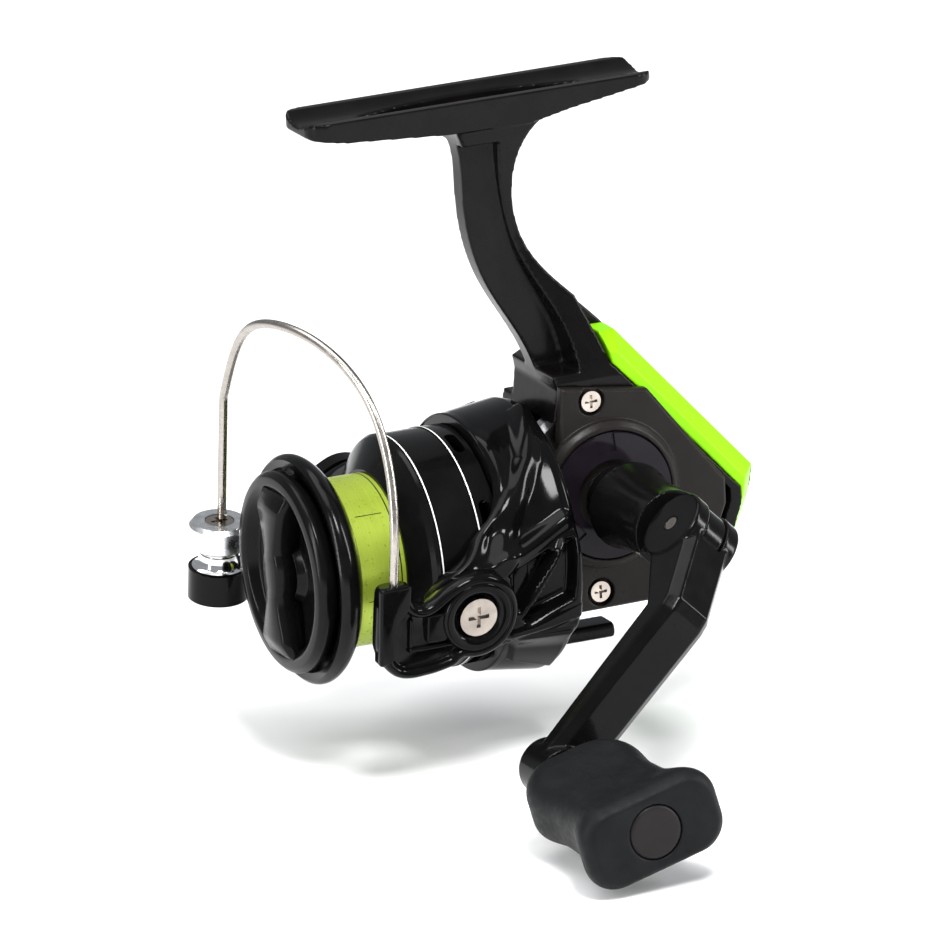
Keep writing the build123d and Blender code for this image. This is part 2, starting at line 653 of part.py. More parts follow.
with BuildPart() as drag_knob:
    with BuildSketch(SPOOL_HALF):
        with BuildLine():
            Polyline(
                (-34.0, 2.7), (-34.0, 4.2), (-33.0, 4.2), (-33.0, 7.2), (-34.4, 10.0), (-34.2, 15.4),
                (-34.9, KNOB_RIM),
            )
            ThreePointArc((-34.9, KNOB_RIM), (-36.2, KNOB_RIM + 0.1), (KNOB_RIM_Y, 15.0))
            Polyline(
                (KNOB_RIM_Y, 15.0), (-36.4, 13.4), (-35.9, 13.0), (-35.9, 11.4),
                (-35.4, 11.0), (-35.4, 2.7), (-34.0, 2.7),
            )
        make_face()
    revolve(axis=SPOOL_AXIS)
    # Grip bar right across the dish, waisted in the middle
    with BuildSketch(SPOOL_FACE.offset(35.3)):
        with BuildLine():
            Spline((-4.6, 12.4), (-2.9, 7.0), (-2.6, 0), (-2.9, -7.0), (-4.6, -12.4))
            Line((-4.6, -12.4), (4.6, -12.4))
            Spline((4.6, -12.4), (2.9, -7.0), (2.6, 0), (2.9, 7.0), (4.6, 12.4))
            Line((4.6, 12.4), (-4.6, 12.4))
        make_face()
    extrude(amount=2.9)
    fillet(drag_knob.faces().sort_by(Axis.Y)[0].edges(), 0.6)
    with BuildSketch(SPOOL_FACE.offset(33.5)):
        Circle(2.6)
    extrude(amount=3.4, mode=Mode.SUBTRACT)
save(drag_knob, "drag_knob")

with BuildPart() as drag_nut:
    with BuildSketch(SPOOL_FACE.offset(34.0)):
        RegularPolygon(2.5, 6)
        Circle(SHAFT_RADIUS + RUN, mode=Mode.SUBTRACT)
    extrude(amount=1.5)
save(drag_nut, "drag_nut")

with BuildPart() as drag_spring:
    # Short compression spring between the knob and the washers
    with BuildLine() as coil:
        Helix(pitch=0.6, height=0.9, radius=3.4, center=(0, -33.6, AXIS_Z), direction=(0, 1, 0))
    with BuildSketch(Plane(origin=coil.line @ 0, z_dir=coil.line % 0)):
        Circle(0.2)
    sweep()
save(drag_spring, "drag_spring")

# ---------------------------------------------------------------- rotor

ARM_INNER = 20.4
ARM_OUTER = 23.5
CUP_FRONT = -5.2
CUP_REAR = 6.5


# Outside of the cup, as (y, radius)
CUP_SKIN = [(CUP_FRONT, 20.2), (1.0, 21.8), (4.5, CUP_RADIUS), (CUP_REAR, CUP_RADIUS - 0.5)]
WEB_REAR = -2.4
PAD_RADIUS = 6.3


def arm_outline():
    """Side outline of a rotor arm: a round pad at the pivot on a base that widens backwards."""
    with BuildSketch(SIDE) as face:
        with Locations((PIVOT_Y, 0)):
            Circle(PAD_RADIUS)
        add(outline(
            Plane.XY,
            [(PIVOT_Y, -PAD_RADIUS), (PIVOT_Y, PAD_RADIUS), (-4.0, 8.0), (CUP_REAR, 9.5),
             (CUP_REAR, -9.5), (-4.0, -8.0)],
        ))
    return face.sketch


def rotor_arm(label, side):
    """Arm with a flat inner face, whose base wraps the outside of the cup."""
    with BuildPart() as arm:
        with BuildSketch(forward(CUP_REAR)):
            Circle(ARM_OUTER)
            with Locations((side * (ARM_INNER - 30), 0)):
                Rectangle(60, 60, mode=Mode.SUBTRACT)
        extrude(amount=30)
        extrude(arm_outline(), amount=side * 30, mode=Mode.INTERSECT)
        cup_room = [(y, radius + 0.02) for y, radius in CUP_SKIN]
        revolve(
            spool_profile([(CUP_FRONT, 0)] + cup_room + [(CUP_REAR, 0)]), axis=SPOOL_AXIS, mode=Mode.SUBTRACT
        )
        with BuildSketch(SIDE):
            with Locations((PIVOT_Y, 0)):
                Circle(1.0)
        extrude(amount=side * 40, mode=Mode.SUBTRACT)
    save(arm, label)


rotor_arm("rotor_arm", 1)
rotor_arm("far_rotor_arm", -1)

with BuildPart() as rotor:
    revolve(
        spool_profile(
            [(CUP_FRONT, PINION_SLEEVE + 0.03)] + CUP_SKIN
            + [(CUP_REAR, 20.2), (WEB_REAR, 20.2), (WEB_REAR, PINION_SLEEVE + 0.03)]
        ),
        axis=SPOOL_AXIS,
    )
save(rotor, "rotor")

with BuildPart() as rotor_nut:
    with BuildSketch(forward(CUP_FRONT - 0.05, SPOOL_FACE)):
        RegularPolygon(4.4, 6)
        Circle(PINION_SLEEVE + 0.02, mode=Mode.SUBTRACT)
    extrude(amount=1.8)
save(rotor_nut, "rotor_nut")

with BuildPart() as pivot_screws:
    for side in (1, -1):
        with BuildSketch(SIDE.offset(side * (ARM_INNER + 0.1))):
            with Locations((PIVOT_Y, 0)):
                Circle(0.98)
        extrude(amount=side * (LEVER_OUTER - 1.1 - ARM_INNER))
        with BuildSketch(SIDE.offset(side * (LEVER_OUTER - 1.0))):
            with Locations((PIVOT_Y, 0)):
                Circle(3.2)
        extrude(amount=side * 0.9)
        with BuildSketch(SIDE.offset(side * LEVER_OUTER)):
            with Locations((PIVOT_Y, 0)):
                Rectangle(3.6, 0.7)
                Rectangle(0.7, 3.6)
        extrude(amount=side * -0.7, mode=Mode.SUBTRACT)
save(pivot_screws, "pivot_screws")

with BuildPart() as balance_weight:
    with BuildSketch(forward(-2.3)):
        Circle(19.6)
        Circle(16.2, mode=Mode.SUBTRACT)
        add(outline(Plane.XY, [(0, 0), (-30, 14), (-30, -14)]), mode=Mode.INTERSECT)
    extrude(amount=-2.0)
save(balance_weight, "balance_weight")

with BuildPart() as bail_spring:
    # Over-centre spring behind the rotor's web, along the rotor's tangent
    with BuildLine() as spring_line:
        Helix(pitch=0.9, height=8.1, radius=0.85, center=rotor_point(17.8, -1.25, -4.0), direction=SIDE.y_dir)
    with BuildSketch(Plane(origin=spring_line.line @ 0, z_dir=spring_line.line % 0)):
        Circle(0.2)
    sweep()
save(bail_spring, "bail_spring")

# ---------------------------------------------------------------- bail

TOWER_TOP = 7.4

with BuildPart() as bail_lever:
    with BuildSketch(SIDE.offset(LEVER_INNER)):
        with Locations((PIVOT_Y, 0)):
            Circle(6.0)
        with BuildLine():
            Polyline((-30.9, TOWER_TOP), (-25.6, TOWER_TOP), (-25.6, 2.0))
            Spline((-25.6, 2.0), (-21.5, 5.2), (-14.6, 5.9))
            Line((-14.6, 5.9), (-12.4, -5.7))
            Polyline((-12.4, -5.7), (-19.5, -7.8), (-26.0, -8.0), (-31.2, -2.4), (-30.9, TOWER_TOP))
        make_face()
    extrude(amount=LEVER_OUTER - LEVER_INNER)
    fillet(bail_lever.edges().group_by(Axis(SIDE.origin, SIDE.z_dir))[-1], 0.7)
    # Recess for the screw head, bore for its shank, socket for the wire, finger pocket
    with BuildSketch(SIDE.offset(LEVER_OUTER - 1.04)):
        with Locations((PIVOT_Y, 0)):
            Circle(4.4)
    extrude(amount=3, mode=Mode.SUBTRACT)
    with BuildSketch(SIDE):
        with Locations((PIVOT_Y, 0)):
            Circle(0.98 + RUN)
    extrude(amount=40, mode=Mode.SUBTRACT)
    with BuildSketch(SIDE.offset(LEVER_OUTER - 1.4)):
        with Locations((-23.6, -1.6)):
            Ellipse(1.6, 3.0)
    extrude(amount=3, mode=Mode.SUBTRACT)
    wire_seat = Plane(
        origin=(SIDE.offset(25.4).origin + SIDE.x_dir * -28.2 + SIDE.y_dir * (TOWER_TOP + 1)),
        z_dir=-SIDE.y_dir,
    )
    with BuildSketch(wire_seat):
        Circle(0.78)
    extrude(amount=6, mode=Mode.SUBTRACT)
save(bail_lever, "bail_lever")

CUP_TOP = -9.2
CUP_FLOOR = -14.4
CAP_TOP = -1.2


def upright(level):
    """Plane across the line roller's axis, at a height along the rotor tangent."""
    origin = SIDE.origin + SIDE.z_dir * ROLLER_RADIUS_AT + SIDE.x_dir * ROLLER_Y + SIDE.y_dir * level
    return Plane(origin=origin, x_dir=SIDE.x_dir, z_dir=SIDE.y_dir)


# Half plane of the line roller: distance from its axis, and height along the rotor tangent
ROLLER_HALF = Plane(origin=upright(0).origin, x_dir=SIDE.x_dir, z_dir=SIDE.z_dir)
ROLLER_AXIS = Axis(upright(0).origin, SIDE.y_dir)

with BuildPart() as roller_arm:
    with BuildSketch(SIDE.offset(-LEVER_INNER)):
        with Locations((PIVOT_Y, 0)):
            Circle(6.0)
        with BuildLine():
            Spline((-15.4, 5.8), (-21.0, 1.6), (-26.0, -6.0), (-30.5, CUP_TOP))
            Polyline((-30.5, CUP_TOP), (-36.0, CUP_TOP), (-36.0, CUP_FLOOR), (-31.0, CUP_FLOOR))
            Spline((-31.0, CUP_FLOOR), (-24.0, -12.0), (-18.0, -7.4), (-12.4, -5.7))
            Line((-12.4, -5.7), (-15.4, 5.8))
        make_face()
    extrude(amount=-(LEVER_OUTER - LEVER_INNER))
    fillet(roller_arm.edges().group_by(Axis(SIDE.origin, SIDE.z_dir))[0], 0.7)
    with BuildSketch(upright(CUP_FLOOR)):
        Circle(4.9)
    extrude(amount=CUP_TOP - CUP_FLOOR)
    with BuildSketch(SIDE.offset(-LEVER_OUTER + 1.04)):
        with Locations((PIVOT_Y, 0)):
            Circle(4.4)
    extrude(amount=-3, mode=Mode.SUBTRACT)
    with BuildSketch(SIDE):
        with Locations((PIVOT_Y, 0)):
            Circle(0.98 + RUN)
    extrude(amount=-40, mode=Mode.SUBTRACT)
    with BuildSketch(upright(CUP_FLOOR)):
        Circle(1.0)
    extrude(amount=10, mode=Mode.SUBTRACT)
save(roller_arm, "roller_arm")

with BuildPart() as line_roller:
    with BuildSketch(ROLLER_HALF):
        with BuildLine():
            Polyline((1.9 + RUN, CUP_TOP + 0.2), (4.3, CUP_TOP + 0.2))
            ThreePointArc((4.3, CUP_TOP + 0.2), (3.2, -7.2), (4.3, -5.5))
            Polyline((4.3, -5.5), (1.9 + RUN, -5.5), (1.9 + RUN, CUP_TOP + 0.2))
        make_face()
    revolve(axis=ROLLER_AXIS)
save(line_roller, "line_roller")

with BuildPart() as roller_cap:
    with BuildSketch(ROLLER_HALF):
        with BuildLine():
            Polyline(
                (1.02, CUP_TOP + 0.02), (1.9, CUP_TOP + 0.02), (1.9, -5.3), (4.9, -5.3),
                (4.9, CAP_TOP - 0.7), (4.3, CAP_TOP), (2.4, CAP_TOP), (2.4, CAP_TOP - 1.0),
                (1.02, CAP_TOP - 1.0), (1.02, CUP_TOP + 0.02),
            )
        make_face()
    revolve(axis=ROLLER_AXIS)
    # Seat for the end of the bail wire
    with BuildSketch(Plane(origin=upright(CAP_TOP + 2).origin + SIDE.x_dir * 1.6 + SIDE.z_dir * -2.6,
                           x_dir=SIDE.x_dir, z_dir=-SIDE.y_dir)):
        Circle(0.78)
    extrude(amount=5, mode=Mode.SUBTRACT)
save(roller_cap, "roller_cap")

with BuildPart() as roller_screw:
    with BuildSketch(upright(CAP_TOP - 0.98)):
        Circle(2.3)
    extrude(amount=0.9)
    with BuildSketch(upright(CAP_TOP - 0.98)):
        Circle(0.98)
    extrude(amount=-12.4)
    with BuildSketch(upright(CAP_TOP + 0.1)):
        Rectangle(2.8, 0.6)
        Rectangle(0.6, 2.8)
    extrude(amount=-0.7, mode=Mode.SUBTRACT)
save(roller_screw, "roller_screw")


with BuildPart() as bail_wire:
    with BuildLine() as wire_line:
        near_leg = Line(rotor_point(25.4, -28.2, 3.6), rotor_point(25.4, -28.2, 11.0))
        arch = Spline(
            rotor_point(25.4, -28.2, 11.0),
            rotor_point(21.6, -27.4, 23.9),
            rotor_point(13.6, -28.4, 35.3),
            rotor_point(3.0, -31.8, 40.4),
            rotor_point(-8.6, -35.0, 39.6),
            rotor_point(-18.9, -35.6, 32.4),
            rotor_point(-25.3, -35.0, 21.0),
            rotor_point(-26.8, -34.5, 8.0),
            tangents=[near_leg % 1, -SIDE.y_dir],
        )
        Line(arch @ 1, rotor_point(-26.8, -34.4, -4.0))
    with BuildSketch(Plane(origin=wire_line.line @ 0, z_dir=wire_line.line % 0)):
        Circle(0.75)
    sweep()
save(bail_wire, "bail_wire")

# ---------------------------------------------------------------- handle

HUB_START = 14.3
HUB_END = 35.0
KNUCKLE_RADIUS = 6.0
KNUCKLE_HALF = 4.9
TONGUE = 4.0
ARM_END_HALF = 3.9
SPINDLE_RADIUS = 1.6

with BuildPart() as handle_hub:
    with BuildSketch(CRANK_HALF):
        with BuildLine():
            Polyline((HUB_START, 0), (HUB_START, 5.4), (18.6, 5.4), (19.2, 7.2))
            Spline((19.2, 7.2), (22.0, 6.6), (28.0, 6.25), (HUB_END, 6.4))
            Polyline((HUB_END, 6.4), (HUB_END, 0), (HUB_START, 0))
        make_face()
    revolve(axis=CRANK_AXIS)
    # Square drive end inside the shaft, and the tongue that the arm folds on
    with BuildSketch(CRANK_FACE.offset(HUB_START)):
        RegularPolygon(1.44, 4)
    extrude(amount=-8)
    with BuildSketch(ARM.offset(-TONGUE / 2)):
        Circle(5.6)
        with Locations((0, -5.0)):
            Rectangle(11.2, 6.0)
    extrude(amount=TONGUE)
    with BuildSketch(ARM.offset(-10)):
        Circle(1.2)
    extrude(amount=20, mode=Mode.SUBTRACT)
save(handle_hub, "handle_hub")

with BuildPart() as fold_pin:
    with BuildSketch(ARM.offset(-KNUCKLE_HALF + 0.1)):
        Circle(1.2 - RUN)
    extrude(amount=2 * KNUCKLE_HALF - 0.2)
save(fold_pin, "fold_pin")

with BuildPart() as handle_arm:
    # Knuckle, a short rising link, then the long link out to the knob
    with BuildSketch(ARM.offset(-4.6)):
        Circle(KNUCKLE_RADIUS)
        with BuildLine():
            Polyline(
                (-2.0, 5.6), (ARM_BEND - 3.4, ARM_RISE + 2.8), (ARM_BEND - 1, ARM_RISE + 3.4),
                (CRANK_RADIUS, ARM_RISE + 2.6), (CRANK_RADIUS, ARM_RISE - 2.6),
                (ARM_BEND + 1.0, ARM_RISE - 3.4), (3.4, -4.8), (-2.0, 5.6),
            )
        make_face()
    extrude(amount=9.2)
    # Facets that run down both links
    chamfer(handle_arm.edges().filter_by(GeomType.LINE).group_by(Axis(ARM.origin, ARM.z_dir))[-1], 1.5)
    chamfer(handle_arm.edges().filter_by(GeomType.LINE).group_by(Axis(ARM.origin, ARM.z_dir))[0], 1.5)
    with BuildSketch(ARM.offset(-KNUCKLE_HALF)):
        Circle(KNUCKLE_RADIUS - 0.2)
    extrude(amount=2 * KNUCKLE_HALF)
    with BuildSketch(Plane(origin=(FOLD_X + ARM_RISE, KNOB_Y, KNOB_Z), z_dir=(1, 0, 0))):
        Circle(4.8)
    extrude(amount=ARM_END_HALF, both=True)
    # Slot for the tongue, pin bore and spindle bore
    with BuildSketch(ARM.offset(-TONGUE / 2 - 0.15)):
        Circle(KNUCKLE_RADIUS + 0.3)
        with Locations((-4.0, -4.0)):
            Rectangle(14.0, 8.0)
    extrude(amount=TONGUE + 0.3, mode=Mode.SUBTRACT)
    with BuildSketch(ARM.offset(-10)):
        Circle(1.2)
    extrude(amount=20, mode=Mode.SUBTRACT)
    with BuildSketch(Plane(origin=(FOLD_X, KNOB_Y, KNOB_Z), z_dir=(1, 0, 0))):
        Circle(1.2)
    extrude(amount=20, mode=Mode.SUBTRACT)
save(handle_arm, "handle_arm")

ARM_OUT_X = FOLD_X + ARM_RISE + ARM_END_HALF

with BuildPart() as knob_spindle:
    with BuildSketch(KNOB_FACE.offset(FOLD_X + ARM_RISE - ARM_END_HALF + 0.2)):
        Circle(1.18)
    extrude(amount=2 * ARM_END_HALF - 0.18)
    with BuildSketch(KNOB_FACE.offset(ARM_OUT_X + 0.02)):
        Circle(3.0)
    extrude(amount=0.7)
    with BuildSketch(KNOB_FACE.offset(ARM_OUT_X + 0.02)):
        Circle(SPINDLE_RADIUS)
    extrude(amount=KNOB_END - 4.5 - ARM_OUT_X)
    with BuildSketch(KNOB_FACE.offset(KNOB_END - 4.48)):
        Circle(3.0)
    extrude(amount=1.2)
save(knob_spindle, "knob_spindle")

# (distance along the knob, half width, half thickness, corner)
KNOB_SECTIONS = [
    (KNOB_START, 5.4, 4.6, 3.4), (KNOB_START + 4.0, 9.0, 5.8, 4.0), (KNOB_START + 10.0, 9.8, 5.6, 4.2),
    (KNOB_START + 18.0, 8.4, 4.9, 3.8), (KNOB_START + 25.0, 10.4, 6.0, 4.2), (KNOB_END - 1.4, 11.8, 6.8, 4.8),
    (KNOB_END, 10.6, 5.8, 4.4),
]

with BuildPart() as handle_knob:
    for along, half_width, half_thick, corner in KNOB_SECTIONS:
        with BuildSketch(KNOB_FACE.offset(along)):
            RectangleRounded(2 * half_width, 2 * half_thick, corner)
    loft()
    with BuildSketch(KNOB_FACE.offset(KNOB_START - 1)):
        Circle(SPINDLE_RADIUS + RUN)
    extrude(amount=60, mode=Mode.SUBTRACT)
    with BuildSketch(KNOB_FACE.offset(KNOB_END - 4.6)):
        Circle(4.5)
    extrude(amount=10, mode=Mode.SUBTRACT)
save(handle_knob, "handle_knob")

with BuildPart() as knob_cap:
    with BuildSketch(KNOB_FACE.offset(KNOB_END - 2.9)):
        Circle(4.45)
    extrude(amount=2.9)
    fillet(knob_cap.faces().sort_by(Axis.X)[-1].edges(), 0.7)
save(knob_cap, "knob_cap")

# ---------------------------------------------------------------- anti-reverse

with BuildPart() as stop_wheel:
    # Ratchet wheel keyed to the pinion in front of the plate
    with BuildSketch(forward(0.2, SPOOL_FACE)):
        Circle(8.4)
        with PolarLocations(0, 12):
            add(outline(Plane.XY, [(7.6, -1.8), (9.7, 0.4), (8.2, 1.0)]))
        Circle(PINION_SLEEVE + 0.02, mode=Mode.SUBTRACT)
    extrude(amount=1.4)
save(stop_wheel, "stop_wheel")

with BuildPart() as stop_pawl:
    with BuildSketch(forward(0.2, SPOOL_FACE)):
        with Locations(PAWL_PIVOT):
            Circle(1.9)
        add(outline(Plane.XY, [(10.6, -11.8), (9.0, -8.3), (2.2, -10.4), (1.9, -11.6)]))
        with Locations(PAWL_PIVOT):
            Circle(0.9 + RUN, mode=Mode.SUBTRACT)
    extrude(amount=1.3)
save(stop_pawl, "stop_pawl")

with BuildPart() as pawl_pin:
    with BuildSketch(forward(3.4, SPOOL_FACE)):
        with Locations(PAWL_PIVOT):
            Circle(0.9)
    extrude(amount=4.7)
save(pawl_pin, "pawl_pin")

with BuildPart() as stop_lever:
    # Stub shaft in the plate, a web behind it and the finger tab
    with BuildSketch(forward(9.2, SPOOL_FACE)):
        with Locations(STOP_PIVOT):
            Circle(1.5)
    extrude(amount=7.8)
    with BuildSketch(forward(10.6, SPOOL_FACE)):
        with BuildLine():
            Polyline((-1.6, -13.6), (1.6, -13.6), (2.6, -19.4), (-2.6, -19.4), (-1.6, -13.6))
        make_face()
    extrude(amount=2.2)
    with BuildSketch(forward(20.4, SPOOL_FACE)):
        with Locations((0, -18.2)):
            RectangleRounded(5.6, 2.4, 0.8)
    extrude(amount=12.0)
save(stop_lever, "stop_lever")
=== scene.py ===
import json
import math

import bmesh
import bpy
import numpy as np
from mathutils import Matrix, Vector


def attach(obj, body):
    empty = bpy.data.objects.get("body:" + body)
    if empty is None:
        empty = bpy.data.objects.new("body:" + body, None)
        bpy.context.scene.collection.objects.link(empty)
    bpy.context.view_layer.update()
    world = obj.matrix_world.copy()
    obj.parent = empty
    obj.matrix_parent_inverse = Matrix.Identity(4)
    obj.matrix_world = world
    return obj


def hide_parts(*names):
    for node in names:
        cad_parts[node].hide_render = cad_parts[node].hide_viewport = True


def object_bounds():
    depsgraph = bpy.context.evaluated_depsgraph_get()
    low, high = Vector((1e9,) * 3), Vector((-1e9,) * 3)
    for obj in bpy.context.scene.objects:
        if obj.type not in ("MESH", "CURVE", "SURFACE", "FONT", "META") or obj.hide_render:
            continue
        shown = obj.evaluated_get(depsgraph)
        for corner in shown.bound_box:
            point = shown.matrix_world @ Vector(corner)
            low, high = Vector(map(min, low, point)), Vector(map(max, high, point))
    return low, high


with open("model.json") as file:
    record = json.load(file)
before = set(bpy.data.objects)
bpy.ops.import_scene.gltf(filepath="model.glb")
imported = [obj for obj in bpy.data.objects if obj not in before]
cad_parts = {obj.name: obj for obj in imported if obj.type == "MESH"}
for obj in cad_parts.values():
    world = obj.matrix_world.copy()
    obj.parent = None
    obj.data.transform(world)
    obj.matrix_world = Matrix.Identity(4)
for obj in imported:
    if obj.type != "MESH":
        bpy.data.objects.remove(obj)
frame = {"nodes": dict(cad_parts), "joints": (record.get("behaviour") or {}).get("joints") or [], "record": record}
cad_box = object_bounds()
nodes = frame["nodes"]
joints = {joint["name"]: joint for joint in frame["joints"]}

MM = 0.001
AXIS_Z = joints["rotor_spin"]["pos_m"][2]

# Marks on the spool: the band's ends, its edge lines and cross marks, and the skirt's rings.
# They are drawn only outside the two radii.
BAND_FRONT = -28.9 * MM
BAND_REAR = -20.4 * MM
BAND_RADIUS = 13.4 * MM
EDGE_INSET = 0.75 * MM
LINE_HALF = 0.11 * MM
HOOPS = (-16.4 * MM, -9.3 * MM)
CROSS_REACH = 2.3 * MM
HOOP_RADIUS = 18.9 * MM
# Cross marks round the band, in radians: from one to the next, where they start, and half a width
CROSS_SPACING = math.radians(60)
CROSS_PHASE = 0.22
CROSS_HALF = 0.006

# Noise scales that draw lines round the X, Y or Z axis, and longer ones round the band
AROUND_X = (1.0, 0.03, 0.03)
AROUND_Y = (0.03, 1.0, 0.03)
AROUND_Z = (0.03, 0.03, 1.0)
BAND_STRETCH = (0.02, 1.0, 0.02)
# Most of a noise's values lie between these
NOISE_LOW = 0.3
NOISE_HIGH = 0.7

# ---------------------------------------------------------------- shader helpers


class Paint:
    """A procedural material: one Principled shader, with textures for colour, roughness and bump."""

    def __init__(self, name, metallic=0.0):
        self.material = bpy.data.materials.new(name)
        self.material.use_nodes = True
        self.tree = self.material.node_tree
        self.shader = self.tree.nodes["Principled BSDF"]
        self.shader.inputs["Metallic"].default_value = metallic
        self.place = self.tree.nodes.new("ShaderNodeTexCoord").outputs["Object"]

    def node(self, kind, inputs=(), **properties):
        """A node of one kind, with values or links put on its inputs."""
        made = self.tree.nodes.new(kind)
        for key, value in properties.items():
            setattr(made, key, value)
        for key, value in inputs:
            if isinstance(value, bpy.types.NodeSocket):
                self.tree.links.new(value, made.inputs[key])
            else:
                made.inputs[key].default_value = value
        return made

    def noise(self, scale, detail=3.0, stretch=(1.0, 1.0, 1.0)):
        """Noise in space, with its scale in features per metre."""
        mapping = self.node("ShaderNodeMapping", [("Vector", self.place), ("Scale", stretch)])
        inputs = [("Vector", mapping.outputs["Vector"]), ("Scale", scale), ("Detail", detail)]
        return self.node("ShaderNodeTexNoise", inputs).outputs["Fac"]

    def spread(self, source, low, high):
        """Map a noise's usual range to low..high."""
        inputs = [("Value", source), ("From Min", NOISE_LOW), ("From Max", NOISE_HIGH)]
        inputs += [("To Min", low), ("To Max", high)]
        return self.node("ShaderNodeMapRange", inputs).outputs["Result"]

    def math(self, operation, first, second=0.0, third=0.0):
        """Result of one operation on up to three values or sockets."""
        inputs = [(0, first), (1, second), (2, third)]
        return self.node("ShaderNodeMath", inputs, operation=operation).outputs[0]

    def axis(self, name):
        """One coordinate in metres, in the shared frame."""
        return self.node("ShaderNodeSeparateXYZ", [("Vector", self.place)]).outputs[name]

    def near(self, value, centre, reach):
        """1 where a value is within reach of centre, 0 elsewhere."""
        return self.math("COMPARE", value, centre, reach)

    def reflect(self, level):
        """Set how strongly a non-metal reflects; 0.5 is Blender's own level."""
        self.shader.inputs["Specular IOR Level"].default_value = level

    def height(self):
        """Height above the spool axis, in metres."""
        return self.math("SUBTRACT", self.axis("Z"), AXIS_Z)

    def radius(self):
        """Distance from the spool axis, in metres."""
        squares = [self.math("POWER", side, 2.0) for side in (self.height(), self.axis("X"))]
        return self.math("SQRT", self.math("ADD", *squares))

    def mix(self, factor, first, second):
        """Colour between two colours or sockets."""
        blend = self.node("ShaderNodeMix", data_type="RGBA")
        slots = [socket for socket in blend.inputs if socket.enabled]
        for target, value in zip(slots, (factor, first, second)):
            if isinstance(value, bpy.types.NodeSocket):
                self.tree.links.new(value, target)
            else:
                target.default_value = value if isinstance(value, float) else (*value, 1.0)
        return [socket for socket in blend.outputs if socket.enabled][0]

    def finish(self, colour, roughness, height=None, depth=0.0):
        """Connect the textures and return the material."""
        self.tree.links.new(colour, self.shader.inputs["Base Color"])
        self.tree.links.new(roughness, self.shader.inputs["Roughness"])
        if height is not None:
            inputs = [("Height", height), ("Distance", depth), ("Strength", 1.0)]
            bump = self.node("ShaderNodeBump", inputs)
            self.tree.links.new(bump.outputs["Normal"], self.shader.inputs["Normal"])
        return self.material


def shades(colour, spread):
    """A darker and a lighter version of a colour."""
    return [tuple(min(1.0, part * factor) for part in colour) for factor in (1 - spread, 1 + spread)]


def moulded(name, colour, gloss, grain_depth=0.003, mottle=0.25):
    """Moulded plastic: faint flow tint, uneven gloss and a fine skin."""
    paint = Paint(name)
    dark, light = shades(colour, mottle)
    tint = paint.mix(paint.spread(paint.noise(180.0), 0.0, 1.0), dark, light)
    paint.reflect(0.11)
    rough = paint.spread(paint.noise(420.0, 6.0), gloss * 0.8, gloss * 1.25)
    skin = paint.noise(2600.0, 4.0)
    return paint.finish(tint, rough, skin, grain_depth * MM)


def grip_rubber(name, colour):
    """Soft-touch coating: matte and finely grained."""
    paint = Paint(name)
    dark, light = shades(colour, 0.3)
    paint.reflect(0.12)
    tint = paint.mix(paint.spread(paint.noise(260.0, 5.0), 0.0, 1.0), dark, light)
    rough = paint.spread(paint.noise(900.0, 6.0), 0.48, 0.62)
    grain = paint.noise(5200.0, 5.0)
    return paint.finish(tint, rough, grain, 0.02 * MM)


def turned_metal(name, colour, roughness, stretch, line_scale=5200.0, depth=0.004):
    """Metal with fine machining lines across the stretched direction."""
    paint = Paint(name, metallic=1.0)
    dark, light = shades(colour, 0.08)
    lines = paint.noise(line_scale, 3.0, stretch)
    tint = paint.mix(paint.spread(lines, 0.0, 1.0), dark, light)
    rough = paint.spread(paint.noise(700.0, 5.0), roughness * 0.8, roughness * 1.3)
    return paint.finish(tint, rough, lines, depth * MM)


def cast_metal(name, colour, roughness, depth):
    """Cast or plated metal with a slightly uneven surface."""
    paint = Paint(name, metallic=1.0)
    dark, light = shades(colour, 0.2)
    tint = paint.mix(paint.spread(paint.noise(350.0, 5.0), 0.0, 1.0), dark, light)
    rough = paint.spread(paint.noise(500.0, 6.0), roughness * 0.8, roughness * 1.3)
    return paint.finish(tint, rough, paint.noise(900.0, 4.0), depth * MM)


def line_band(name):
    """The spool's anodised band: circumferential brushing, two edge lines and cross marks."""
    paint = Paint(name, metallic=0.45)
    along = paint.axis("Y")
    turn = paint.math("ARCTAN2", paint.height(), paint.axis("X"))
    outside = paint.math("GREATER_THAN", paint.radius(), BAND_RADIUS)
    brushing = paint.noise(5200.0, 4.0, BAND_STRETCH)
    green = paint.mix(paint.spread(brushing, 0.0, 1.0), (0.36, 0.48, 0.04), (0.42, 0.54, 0.06))
    lines = BAND_FRONT + EDGE_INSET, BAND_REAR - EDGE_INSET
    edges = [paint.near(along, place, LINE_HALF) for place in lines]
    shifted = paint.math("ADD", turn, CROSS_PHASE)
    cross = paint.near(paint.math("PINGPONG", shifted, CROSS_SPACING / 2), 0.0, CROSS_HALF)
    middle = paint.near(along, (BAND_FRONT + BAND_REAR) / 2, CROSS_REACH)
    marks = paint.math("ADD", paint.math("ADD", *edges), paint.math("MULTIPLY", cross, middle))
    marks = paint.math("MINIMUM", paint.math("MULTIPLY", marks, outside), 1.0)
    colour = paint.mix(marks, green, (0.012, 0.014, 0.006))
    rough = paint.spread(paint.noise(1400.0, 5.0), 0.26, 0.36)
    return paint.finish(colour, rough, brushing, 0.001 * MM)


